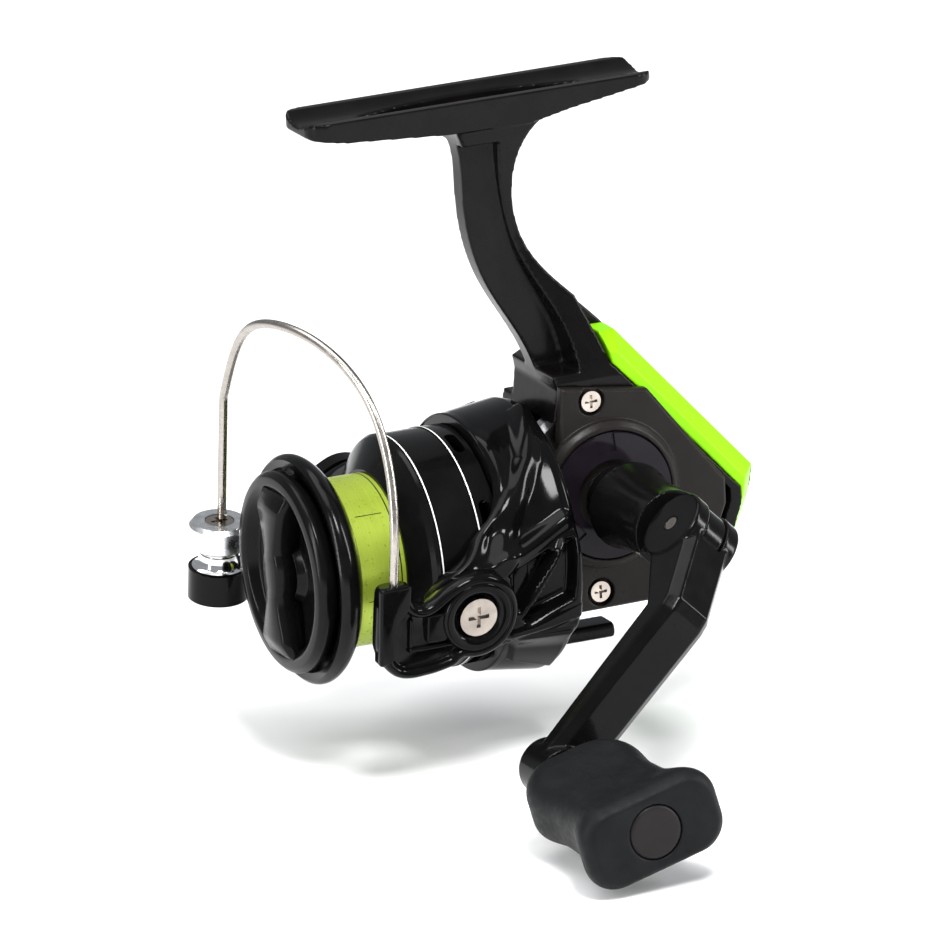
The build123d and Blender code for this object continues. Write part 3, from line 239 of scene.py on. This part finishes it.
def hooped_black(name):
    """Gloss black skirt with two fine bright rings turned through the lacquer."""
    paint = Paint(name)
    along = paint.axis("Y")
    rings = paint.math("ADD", *[paint.near(along, place, LINE_HALF) for place in HOOPS])
    outside = paint.math("GREATER_THAN", paint.radius(), HOOP_RADIUS)
    rings = paint.math("MULTIPLY", rings, outside)
    paint.reflect(0.13)
    flow = paint.spread(paint.noise(200.0), 0.0, 1.0)
    black = paint.mix(flow, (0.0018, 0.0018, 0.0018), (0.0036, 0.0035, 0.0036))
    colour = paint.mix(rings, black, (0.82, 0.82, 0.80))
    rough = paint.spread(paint.noise(420.0, 6.0), 0.13, 0.2)
    return paint.finish(colour, rough, paint.noise(2600.0, 4.0), 0.003 * MM)


FINISHES = {
    "body_black": moulded("gloss_black_body", (0.0034, 0.0030, 0.0029), 0.2),
    "cover_black": moulded("satin_black_cover", (0.0105, 0.0090, 0.0082), 0.34, 0.004, 0.12),
    "rotor_black": moulded("gloss_black_rotor", (0.0024, 0.0024, 0.0026), 0.12),
    "spool_black": hooped_black("gloss_black_spool"),
    "drag_black": moulded("gloss_black_drag", (0.0030, 0.0029, 0.0028), 0.2),
    "handle_black": moulded("gloss_black_handle", (0.0028, 0.0027, 0.0028), 0.16),
    "lever_black": moulded("gloss_black_lever", (0.0045, 0.0042, 0.004), 0.28, 0.006),
    "lime_guard": moulded("lime_guard", (0.22, 0.62, 0.004), 0.34, 0.001, 0.03),
    "dial_trim": moulded("violet_black_dial", (0.009, 0.007, 0.010), 0.1, 0.001),
    "arbor_green": line_band("green_line_band"),
    "knob_grip": grip_rubber("charcoal_grip", (0.0042, 0.0046, 0.0052)),
    "knob_cap": moulded("charcoal_cap", (0.0125, 0.0110, 0.0108), 0.38, 0.004, 0.1),
    "steel": turned_metal("ground_steel", (0.52, 0.52, 0.53), 0.3, AROUND_Y),
    "bearing_steel": turned_metal("bearing_steel", (0.58, 0.58, 0.6), 0.22, AROUND_X),
    "spring_steel": turned_metal("spring_steel", (0.45, 0.45, 0.47), 0.3, AROUND_Z),
    "screw_nickel": cast_metal("nickel_screws", (0.42, 0.37, 0.33), 0.16, 0.004),
    "bail_wire": turned_metal("stainless_wire", (0.40, 0.37, 0.34), 0.26, AROUND_Z, 900.0, 0.0005),
    "roller_aluminium": turned_metal("satin_aluminium", (0.74, 0.75, 0.76), 0.26, AROUND_Z),
    "roller_chrome": turned_metal("chrome_roller", (0.78, 0.78, 0.78), 0.08, AROUND_Z, 2000.0, 0.001),
    "gear_brass": turned_metal("machined_brass", (0.72, 0.5, 0.2), 0.25, AROUND_Y),
    "gear_zinc": cast_metal("cast_zinc", (0.38, 0.38, 0.39), 0.42, 0.06),
    "gear_white": moulded("white_acetal", (0.72, 0.71, 0.66), 0.36),
    "washer_fibre": moulded("oiled_fibre", (0.22, 0.16, 0.10), 0.6, 0.05),
}


def dress(piece, material):
    """Give a piece one material."""
    piece.data.materials.clear()
    piece.data.materials.append(material)


for part in frame["record"]["subparts"]:
    dress(nodes[part["node"]], FINISHES[part["material_slot"]])

# ---------------------------------------------------------------- mesh helpers

# Directions on the rotor: towards the near arm, along its tangent, and aft
NEAR = Vector(joints["bail_flip"]["axis"])
TANGENT = Vector((-NEAR.z, 0.0, NEAR.x))
AFT = Vector((0.0, 1.0, 0.0))
HUB = Vector((0.0, 0.0, AXIS_Z))
PIVOT_Y = joints["bail_flip"]["pos_m"][1] / MM


def add_object(name, data):
    """An object in the scene."""
    made = bpy.data.objects.new(name, data)
    bpy.context.scene.collection.objects.link(made)
    return made


def on_rotor(near, along, tangent):
    """Point from millimetres towards the near arm, along the spool axis and along the tangent."""
    return HUB + NEAR * near * MM + AFT * along * MM + TANGENT * tangent * MM


def piece(name, *parts):
    """One smooth-shaded object from several parts of vertices and faces."""
    vertices = []
    faces = []
    for more_vertices, more_faces in parts:
        start = len(vertices)
        vertices += more_vertices
        faces += [tuple(start + index for index in face) for face in more_faces]
    mesh = bpy.data.meshes.new(name)
    mesh.from_pydata(vertices, [], faces)
    mesh.validate()
    outward = bmesh.new()
    outward.from_mesh(mesh)
    bmesh.ops.recalc_face_normals(outward, faces=outward.faces)
    outward.to_mesh(mesh)
    outward.free()
    mesh.shade_smooth()
    return add_object(name, mesh)


def grid_faces(rows, columns, closed_rows=False):
    """Quads of a rows x columns vertex grid that closes round its columns."""
    faces = []
    for row in range(rows if closed_rows else rows - 1):
        for column in range(columns):
            below = (row + 1) % rows
            beside = (column + 1) % columns
            corners = (row, column), (row, beside), (below, beside), (below, column)
            faces.append(tuple(r * columns + c for r, c in corners))
    return faces


def capped_faces(rows, columns):
    """The same grid with a face over its first and last row."""
    last = (rows - 1) * columns
    ends = [tuple(range(columns)), tuple(range(last + columns - 1, last - 1, -1))]
    return grid_faces(rows, columns) + ends


def lathe(profile, origin, axis, side, segments=160):
    """Vertices and faces of a closed profile of (radius, along) turned about an axis."""
    across = axis.cross(side)
    vertices = []
    for step in range(segments):
        turn = 2 * math.pi * step / segments
        out = side * math.cos(turn) + across * math.sin(turn)
        vertices += [origin + out * radius * MM + axis * along * MM for radius, along in profile]
    return vertices, grid_faces(segments, len(profile), True)


def rounded(profile, radius, steps=4):
    """A closed profile with each corner replaced by a short curve.

    A curve starts at most 0.45 of a side's length from the corner.
    """
    smooth = []
    count = len(profile)
    for index, corner in enumerate(profile):
        here = Vector(corner)
        before = Vector(profile[index - 1]) - here
        after = Vector(profile[(index + 1) % count]) - here
        reach = min(radius, before.length * 0.45, after.length * 0.45)
        start = here + before.normalized() * reach
        end = here + after.normalized() * reach
        for step in range(steps + 1):
            share = step / steps
            smooth.append(tuple(start.lerp(here, share).lerp(here.lerp(end, share), share)))
    return smooth


BODIES = frame["record"]["behaviour"]["bodies"]
BODY_OF = {node: body for body, held in BODIES.items() for node in held}
SLOT_OF = {part["node"]: part["material_slot"] for part in frame["record"]["subparts"]}


def softened(node, voxel, rounds):
    """The node's own shape with its moulded edges rounded, from a voxel size in millimetres."""
    source = nodes[node]
    copy = bpy.data.objects.new(node + "_moulded", source.data.copy())
    copy.data.transform(source.matrix_world)
    bpy.context.scene.collection.objects.link(copy)
    skin = copy.modifiers.new("skin", "REMESH")
    skin.mode = "VOXEL"
    skin.voxel_size = voxel * MM
    edges = copy.modifiers.new("edges", "SMOOTH")
    edges.factor = 0.5
    edges.iterations = rounds
    mesh = bpy.data.meshes.new_from_object(copy.evaluated_get(bpy.context.evaluated_depsgraph_get()))
    copy.modifiers.clear()
    copy.data = mesh
    mesh.shade_smooth()
    dress(copy, FINISHES[SLOT_OF[node]])
    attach(copy, BODY_OF[node])
    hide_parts(node)
    return copy


# The handle knob's waist: its middle, how far it reaches each way, and the share added there
WAIST_X = 76.5 * MM
WAIST_REACH = 4.5 * MM
WAIST_SWELL = 0.12


def fill_waist(knob):
    """Thicken the middle of the handle knob a little."""
    place = Vector(joints["knob_spin"]["pos_m"])
    for vertex in knob.data.vertices:
        off = vertex.co - place
        swell = WAIST_SWELL * math.exp(-(((vertex.co.x - WAIST_X) / WAIST_REACH) ** 2))
        vertex.co += Vector((0.0, off.y, off.z)) * swell


# ---------------------------------------------------------------- rotor skin

# Front edge of the rotor round its axis, as (degrees from the near arm, mm along the axis)
ROTOR_FRONT = [
    (-90, -5.2), (-60, -5.2), (-42, -5.6), (-30, -7.0), (-22, -10.0), (-17, -14.0), (-13, -17.6),
    (-7, -20.2), (0, -20.7), (7, -20.2), (13, -17.6), (19, -14.0), (28, -11.0), (36, -7.8),
    (50, -5.6), (66, -5.2), (90, -5.2),
]
ROTOR_REAR = 6.5
# The cup's radius at places along it
CUP_ALONG = [-5.2, 0.0, 4.5, 6.5]
CUP_RADII = [20.75, 21.4, 22.0, 21.6]
# The arms: radius, the flat just under the bail's arms, and in degrees from an arm's middle
# where it ends and how wide its flank is
ARM_RADIUS = 23.45
ARM_FLAT = 23.6
ARM_END = 30
ARM_FLANK = 16
# The skin: inner radius, thickness left under a pocket, edge rounding, and the grid's size
SKIN_INNER = 20.45
SKIN_LEAST = 0.35
EDGE_ROUND = 1.0
SKIN_ROWS = 84
SKIN_COLUMNS = 540
# Radius at which degrees round the rotor are turned into mm
UNROLLED_RADIUS = 22.5
# Hollow beside each arm's root: its middle and reach, in degrees and mm, and its depth
HOLLOW_TURN = 48
HOLLOW_WIDTH = 14
HOLLOW_ALONG = 2.0
HOLLOW_LENGTH = 3.0
HOLLOW_DEPTH = 0.5
# Rim behind the front edge: mm back from it, reach, height, and the degrees where it ends
RIM_INSET = 1.3
RIM_REACH = 1.5
RIM_HEIGHT = 0.75
RIM_START = 14
RIM_END = 85
# Crests that sweep over the rotor: points (degrees, mm), half width, height. They fade out
# below this radius.
CREST_TOP = 26
CRESTS = [
    ([(12, -11.5), (15, -8.2), (35, -4.4), (58, 1.2), (87, 5.0)], 2.7, 1.15),
    ([(15, -8.0), (22, -1.8), (29, 4.2)], 1.9, 1.0),
    ([(-8, -8.0), (0, -2.5), (20, 3.2)], 1.0, 0.7),
    ([(-16, -6.0), (-13, 0.0), (-9, 6.0)], 1.6, 0.8),
]
# Deep pockets behind the pivot, as corners (degrees, mm)
POCKETS = [
    [(11, -6.6), (18.5, 0.6), (16.5, 1.6), (-6.5, -4.8), (-6, -6.0)],
    [(21, 3.6), (21.5, 5.4), (-4, 4.6), (-12, -3.2), (-9.5, -4.2)],
]
# Raised pad beside the arm, and its height
PLATEAU = [(-17, -5.4), (-17, 5.4), (-50, 5.0), (-42, -3.6)]
PLATEAU_HEIGHT = 0.8


def smooth_step(value):
    """0 below 0, 1 above 1, and a smooth curve between."""
    value = np.clip(value, 0.0, 1.0)
    return value * value * (3 - 2 * value)


def bell(value):
    """1 at 0, falling smoothly to almost 0 by 2 on either side."""
    return np.exp(-(value**2))


def to_line(x, y, line):
    """Shortest distance from each point to a polyline."""
    nearest = np.full(x.shape, 1e9)
    for (ax, ay), (bx, by) in zip(line[:-1], line[1:]):
        share = ((x - ax) * (bx - ax) + (y - ay) * (by - ay)) / ((bx - ax) ** 2 + (by - ay) ** 2)
        share = np.clip(share, 0.0, 1.0)
        nearest = np.minimum(nearest, np.hypot(x - ax - share * (bx - ax), y - ay - share * (by - ay)))
    return nearest


def depth_inside(x, y, corners):
    """Distance to a polygon's edge, positive inside."""
    inside = np.zeros(x.shape, bool)
    loop = corners + corners[:1]
    for (ax, ay), (bx, by) in zip(loop[:-1], loop[1:]):
        if ay != by:
            crosses = ((ay > y) != (by > y)) & (x < (bx - ax) * (y - ay) / (by - ay) + ax)
            inside ^= crosses
    edge = to_line(x, y, loop)
    return np.where(inside, edge, -edge)


def unrolled(points):
    """(degrees, mm) points laid flat as (mm round the rotor, mm along it)."""
    return [(math.radians(turn) * UNROLLED_RADIUS, along) for turn, along in points]


def curve_through(points, samples):
    """Smooth interpolation of sorted (x, y) points."""
    xs = np.array([point[0] for point in points], float)
    ys = np.array([point[1] for point in points], float)
    slopes = np.gradient(ys, xs)
    index = np.clip(np.searchsorted(xs, samples) - 1, 0, len(xs) - 2)
    step = xs[index + 1] - xs[index]
    share = (samples - xs[index]) / step
    rest = 1 - share
    first = (1 + 2 * share) * rest**2 * ys[index] + share * rest**2 * step * slopes[index]
    second = share**2 * (3 - 2 * share) * ys[index + 1] - share**2 * rest * step * slopes[index + 1]
    return first + second


def rotor_radius(turn, along, front):
    """Outer radius over the rotor, in mm: cup, arms, crests, pockets and rounded edges."""
    around = np.radians(turn) * UNROLLED_RADIUS
    cup = np.interp(along, CUP_ALONG, CUP_RADII)
    arm = smooth_step((ARM_END - np.abs(turn)) / ARM_FLANK)
    radius = cup + (ARM_RADIUS - cup) * arm
    hollow = bell((turn - HOLLOW_TURN) / HOLLOW_WIDTH) * bell((along - HOLLOW_ALONG) / HOLLOW_LENGTH)
    radius -= HOLLOW_DEPTH * hollow
    for line, half_width, height in CRESTS:
        away = to_line(around, along, unrolled(line)) / half_width
        radius += height * np.clip(1 - away**2, 0, 1) ** 2 * smooth_step((CREST_TOP - radius) / 2)
    rim = bell((along - front - RIM_INSET) / RIM_REACH)
    rim = rim * smooth_step((turn - RIM_START) / 12) * smooth_step((RIM_END - turn) / 20)
    radius += RIM_HEIGHT * rim
    plateau = depth_inside(around, along, unrolled(PLATEAU))
    radius += PLATEAU_HEIGHT * smooth_step(plateau / 0.9)
    for pocket in POCKETS:
        depth = smooth_step(depth_inside(around, along, unrolled(pocket)) / 0.95 + 0.25)
        radius += (SKIN_INNER + SKIN_LEAST - radius) * depth
    # 0.99 keeps the cosine above zero at 90 degrees
    radius = np.minimum(radius, ARM_FLAT / np.cos(np.radians(turn * 0.99)))
    for gap in (along - front, ROTOR_REAR - along):
        curl = np.clip(1 - gap / EDGE_ROUND, 0, 1)
        radius -= (radius - SKIN_INNER) * (1 - np.sqrt(np.clip(1 - curl**2, 0, 1))) * 0.9
    return radius


def rotor_skin():
    """Outer and inner skin of the cup and both arms; the far half repeats the near one."""
    rows, columns = SKIN_ROWS, SKIN_COLUMNS
    turns = np.linspace(-90, 270, columns, endpoint=False)
    half = np.where(turns > 90, turns - 180, turns)
    front = curve_through(ROTOR_FRONT, half)
    shares = 0.5 - 0.5 * np.cos(np.pi * np.linspace(0.0, 1.0, rows))
    along = front[None, :] + shares[:, None] * (ROTOR_REAR - front[None, :])
    turn = np.broadcast_to(half, along.shape)
    outer = rotor_radius(turn, along, np.broadcast_to(front, along.shape))
    inner = np.full_like(outer, SKIN_INNER)
    vertices = []
    for radii, order in ((outer, range(rows)), (inner, range(rows - 1, -1, -1))):
        for row in order:
            for column in range(columns):
                angle = math.radians(turns[column])
                reach = radii[row, column]
                place = reach * math.cos(angle), along[row, column], reach * math.sin(angle)
                vertices.append(on_rotor(*place))
    return vertices, grid_faces(2 * rows, columns, True)


def build_rotor():
    """The rotor with both arms, its web behind the spool and a collar at the shaft."""
    web = rounded([(2.4, -5.2), (20.9, -5.2), (20.9, -2.4), (2.4, -2.4)], 0.3)
    collar = rounded([(4.6, -5.3), (7.6, -5.3), (6.6, -4.9), (4.6, -4.9)], 0.2)
    turned = [lathe(profile, HUB, AFT, NEAR) for profile in (web, collar)]
    made = piece("rotor_shell", rotor_skin(), *turned)
    dress(made, FINISHES["rotor_black"])
    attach(made, "rotor")
    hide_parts(*[name for name in ("rotor", "rotor_arm", "far_rotor_arm") if name in nodes])


# ---------------------------------------------------------------- bail lever

# Inner face's distance from the axis, and the radius of the pivot pad
LEVER_INNER = 23.8
LEVER_PAD = 7.2
# Degrees where the pad's arc starts and ends, and its steps
PAD_START = 118
PAD_END = -110
PAD_STEPS = 40
# Outline beside the pivot pad, as (mm along the axis, mm along the tangent)
LEVER_FRONT = [
    (-17.5, 6.3), (-19.6, 5.2), (-21.6, 3.6), (-23.5, 2.9), (-25.2, 4.0), (-25.7, 7.4),
    (-28.2, 7.5), (-30.9, 7.4), (-31.1, 3.0), (-31.1, -3.4), (-29.8, -6.6), (-27.6, -8.6),
    (-25.2, -9.1), (-21.0, -8.8), (-17.4, -8.0),
]
# From the inner face over the rim to the recess, as (mm inside the outline, mm from the axis)
LEVER_STEPS = [
    (0.25, LEVER_INNER), (0.0, LEVER_INNER + 0.3), (0.0, 25.9), (0.18, 26.5), (0.55, 26.9),
    (1.0, 27.0), (1.4, 26.85), (1.7, 26.4), (1.85, 25.9), (2.05, 25.75),
]
# Ring round the pivot screw, as (radius, mm from the axis)
PIVOT_RING = [(3.5, 25.6), (3.5, 26.1), (4.3, 26.9), (5.7, 27.05), (6.1, 26.2), (6.2, 25.6)]
# Raised blocks on the lever: corners as in the outline, and mm from the axis to the top
LEVER_BLOCKS = [
    ([(-30.9, -6.0), (-31.1, 7.5), (-25.7, 7.5), (-25.8, 3.4), (-28.0, 1.0), (-28.4, -5.4)], 27.0),
    ([(-22.6, -3.4), (-22.6, 1.6), (-19.0, 1.6), (-19.0, -3.4)], 26.5),
    ([(-25.6, -3.8), (-25.6, 1.2), (-24.9, 1.2), (-24.9, -3.8)], 26.25),
    ([(-25.6, -4.6), (-25.6, -3.8), (-17.0, -3.8), (-17.0, -4.6)], 26.35),
]


def offset_loop(loop, distance):
    """Points of a closed loop, drawn either way round, moved inwards along their normals."""
    area = sum(a[0] * b[1] - b[0] * a[1] for a, b in zip(loop, loop[1:] + loop[:1]))
    turn = 1 if area > 0 else -1
    moved = []
    for index, point in enumerate(loop):
        along = Vector(loop[(index + 1) % len(loop)]) - Vector(loop[index - 1])
        inward = Vector((-along.y, along.x)).normalized() * turn
        moved.append(tuple(Vector(point) + inward * distance))
    return moved


def resample(loop, spacing):
    """Evenly spaced points along a closed loop."""
    points = [Vector(point) for point in loop + loop[:1]]
    lengths = [(b - a).length for a, b in zip(points[:-1], points[1:])]
    count = int(sum(lengths) / spacing)
    result = []
    passed = 0.0
    index = 0
    for step in range(count):
        target = sum(lengths) * step / count
        while passed + lengths[index] < target:
            passed += lengths[index]
            index += 1
        share = (target - passed) / lengths[index]
        result.append(tuple(points[index].lerp(points[index + 1], share)))
    return result


def relaxed(loop):
    """Each point of a closed loop moved halfway towards the middle of its neighbours."""
    points = [Vector(point) for point in loop]
    after = points[1:] + points[:1]
    before = points[-1:] + points[:-1]
    return [tuple((a + 2 * b + c) / 4) for a, b, c in zip(before, points, after)]


def lever_outline():
    """The pad's arc and the front outline as one smooth loop."""
    arc = []
    for step in range(PAD_STEPS + 1):
        angle = math.radians(PAD_START + (PAD_END - PAD_START) * step / PAD_STEPS)
        arc.append((PIVOT_Y + LEVER_PAD * math.cos(angle), LEVER_PAD * math.sin(angle)))
    smooth = resample(rounded(arc + LEVER_FRONT[::-1], radius=1.2), spacing=0.3)
    for _ in range(3):
        smooth = relaxed(smooth)
    return smooth


def stacked(outline, levels):
    """A closed shape through copies of an outline, each (mm inside it, mm from the axis)."""
    vertices = []
    for inset, near in levels:
        loop = offset_loop(outline, inset)
        vertices += [on_rotor(near, along, tangent) for along, tangent in loop]
    return vertices, capped_faces(len(levels), len(outline))


def block(corners, high):
    """A block that stands out from the recess, with a rounded top."""
    levels = [(0.0, LEVER_INNER + 1.0), (0.0, high - 0.3), (0.1, high - 0.08), (0.3, high)]
    return stacked(rounded(corners, 0.7, 5), levels)


def build_lever():
    """The bail lever's plate with its raised rim, a ring round the pivot and raised blocks."""
    plate = stacked(lever_outline(), LEVER_STEPS)
    ring = lathe(rounded(PIVOT_RING, 0.5), on_rotor(0.0, PIVOT_Y, 0.0), NEAR, AFT, 120)
    blocks = [block(corners, high) for corners, high in LEVER_BLOCKS]
    made = piece("bail_lever_cover", plate, ring, *blocks)
    dress(made, FINISHES["rotor_black"])
    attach(made, "bail")
    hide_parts("bail_lever")


# ---------------------------------------------------------------- drag knob

# Rim, dish and hub, as (radius, mm along the axis)
KNOB_PROFILE = [
    (4.4, -33.0), (7.2, -33.0), (10.0, -33.2), (13.4, -33.2), (14.4, -32.5), (15.9, -33.9),
    (16.3, -34.9), (16.35, -35.7), (15.6, -36.5), (14.2, -36.7), (13.2, -36.3), (12.6, -35.2),
    (12.2, -34.5), (9.5, -34.2), (8.0, -34.0), (5.4, -33.9), (4.6, -35.0), (4.4, -35.4),
]
# The grip bar: half its length, half its width at the waist, what each end adds to that, its foot
BAR_REACH = 13.4
BAR_HALF = 2.3
BAR_FLARE = 2.4
BAR_ROOT = -34.0
BAR_ROWS = 41
# The bar's edge, from its side to its front, as (mm in from the side, mm along the axis)
BAR_EDGE = [(0.0, -37.3), (0.25, -37.9), (0.8, -38.2)]
# Round boss in its middle, and how its ends sink from this share of its length
BAR_BOSS = 3.2
BAR_BOSS_SWELL = 0.7
BAR_DROP = 1.3
BAR_DROP_START = 0.82


def bar_section(place):
    """One cross-section of the grip bar, as (mm across, mm along the axis)."""
    share = abs(place) / BAR_REACH
    half = BAR_HALF + BAR_FLARE * smooth_step((share - 0.25) / 0.75).item()
    if abs(place) < BAR_BOSS:
        half += BAR_BOSS_SWELL * math.cos(place / BAR_BOSS * math.pi / 2) ** 0.5
    drop = BAR_DROP * max(0.0, share - BAR_DROP_START) / (1 - BAR_DROP_START)
    edge = [(half - inset, along + drop) for inset, along in BAR_EDGE]
    side = [(half + 0.5, BAR_ROOT)] + edge
    return [(-across, along) for across, along in side] + side[::-1]


def build_drag_knob():
    """Rim, deep dish and hub turned as one, with a waisted grip bar right across."""
    dish = lathe(rounded(KNOB_PROFILE, 0.35), HUB, AFT, NEAR, 200)
    vertices = []
    for row in range(BAR_ROWS):
        place = BAR_REACH * (2 * row / (BAR_ROWS - 1) - 1)
        vertices += [HUB + Vector((x * MM, y * MM, place * MM)) for x, y in bar_section(place)]
    bar = vertices, capped_faces(BAR_ROWS, len(vertices) // BAR_ROWS)
    made = piece("drag_knob_cover", dish, bar)
    dress(made, FINISHES["drag_black"])
    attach(made, "drag_knob")
    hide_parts("drag_knob")


# ---------------------------------------------------------------- build the pieces

# Node, voxel size in millimetres and rounds of smoothing
MOULDED = [
    ("reel_body", 0.3, 4), ("side_cover", 0.2, 4), ("rear_guard", 0.2, 4),
    ("handle_hub", 0.2, 4), ("handle_arm", 0.2, 6), ("stop_lever", 0.2, 4),
]

for node, voxel, rounds in MOULDED:
    softened(node, voxel, rounds)
fill_waist(softened("handle_knob", 0.25, 5))
build_rotor()
build_lever()
build_drag_knob()

# ---------------------------------------------------------------- stage and camera

FLOOR_Z = cad_box[0].z - 1.5 * MM
FLOOR_REACH = 6.0
MIDDLE = (cad_box[0] + cad_box[1]) / 2
# Soft lights: name, size in metres, place from the middle of the reel and watts
PANELS = [
    ("key", (0.24, 0.24), (0.50, -0.10, 0.75), 9.0),
    ("front", (0.14, 0.9), (0.25, -0.95, 0.30), 8.0),
    ("rim", (0.14, 0.7), (0.45, 0.85, 0.35), 9.0),
]
# Sun overhead: strength, and in degrees its width in the sky and its tilt
SUN_STRENGTH = 2.1
SUN_SPREAD = 50
SUN_TILT = (12, -10)
WORLD_COLOUR = (0.8, 0.83, 0.87, 1.0)
WORLD_STRENGTH = 0.42
# Camera: degrees, focal length and sensor in mm, distance in metres and the point it faces
AZIMUTH = 66.0
ELEVATION = 16.5
ROLL = -2.5
LENS = 723.8
SENSOR = 36.0
DISTANCE = 3.0
AIM = Vector((12.6, -8.1, -58.3)) * MM


def panel(name, size, offset, power):
    """Soft rectangular studio light, turned towards the reel."""
    light = bpy.data.lights.new(name, "AREA")
    light.shape = "RECTANGLE"
    light.size, light.size_y = size
    light.energy = power
    lamp = add_object(name, light)
    lamp.location = MIDDLE + Vector(offset)
    lamp.rotation_euler = (MIDDLE - lamp.location).to_track_quat("-Z", "Y").to_euler()


def build_sun():
    """Even light over the whole floor, with soft shadows."""
    light = bpy.data.lights.new("overhead", "SUN")
    light.energy = SUN_STRENGTH
    light.angle = math.radians(SUN_SPREAD)
    lamp = add_object("overhead", light)
    lamp.rotation_euler = (*(math.radians(angle) for angle in SUN_TILT), 0.0)


def build_floor():
    """Pale plain floor just under the reel."""
    mesh = bpy.data.meshes.new("floor")
    signs = [(-1, -1), (1, -1), (1, 1), (-1, 1)]
    corners = [(x * FLOOR_REACH, y * FLOOR_REACH, FLOOR_Z) for x, y in signs]
    mesh.from_pydata(corners, [], [(0, 1, 2, 3)])
    floor = add_object("floor", mesh)
    paint = Paint("pale_floor")
    cloud = paint.spread(paint.noise(3.0), 0.0, 1.0)
    pale = paint.mix(cloud, (0.86, 0.86, 0.86), (0.88, 0.88, 0.88))
    dress(floor, paint.finish(pale, paint.spread(paint.noise(8.0), 0.7, 0.8)))


def build_world():
    """Dim, slightly cool light from all around."""
    world = bpy.data.worlds.new("studio")
    world.use_nodes = True
    background = world.node_tree.nodes["Background"]
    background.inputs["Color"].default_value = WORLD_COLOUR
    background.inputs["Strength"].default_value = WORLD_STRENGTH
    bpy.context.scene.world = world


def build_camera():
    """Long lens from the front right, a little above, rolled slightly."""
    azimuth, elevation, roll = (math.radians(angle) for angle in (AZIMUTH, ELEVATION, ROLL))
    level = math.cos(elevation)
    back = Vector((math.sin(azimuth) * level, -math.cos(azimuth) * level, math.sin(elevation)))
    right = Vector((0, 0, 1)).cross(back).normalized()
    turned_right = right * math.cos(roll) + back.cross(right) * math.sin(roll)
    data = bpy.data.cameras.new("camera")
    data.lens = LENS
    data.sensor_width = SENSOR
    data.clip_end = 50.0
    camera = add_object("camera", data)
    axes = Matrix((turned_right, back.cross(turned_right), back)).transposed().to_4x4()
    camera.matrix_world = Matrix.Translation(AIM + back * DISTANCE) @ axes
    bpy.context.scene.camera = camera


build_floor()
build_world()
build_camera()
for name, size, offset, power in PANELS:
    panel(name, size, offset, power)
build_sun()
bpy.context.scene.view_settings.view_transform = "Standard"
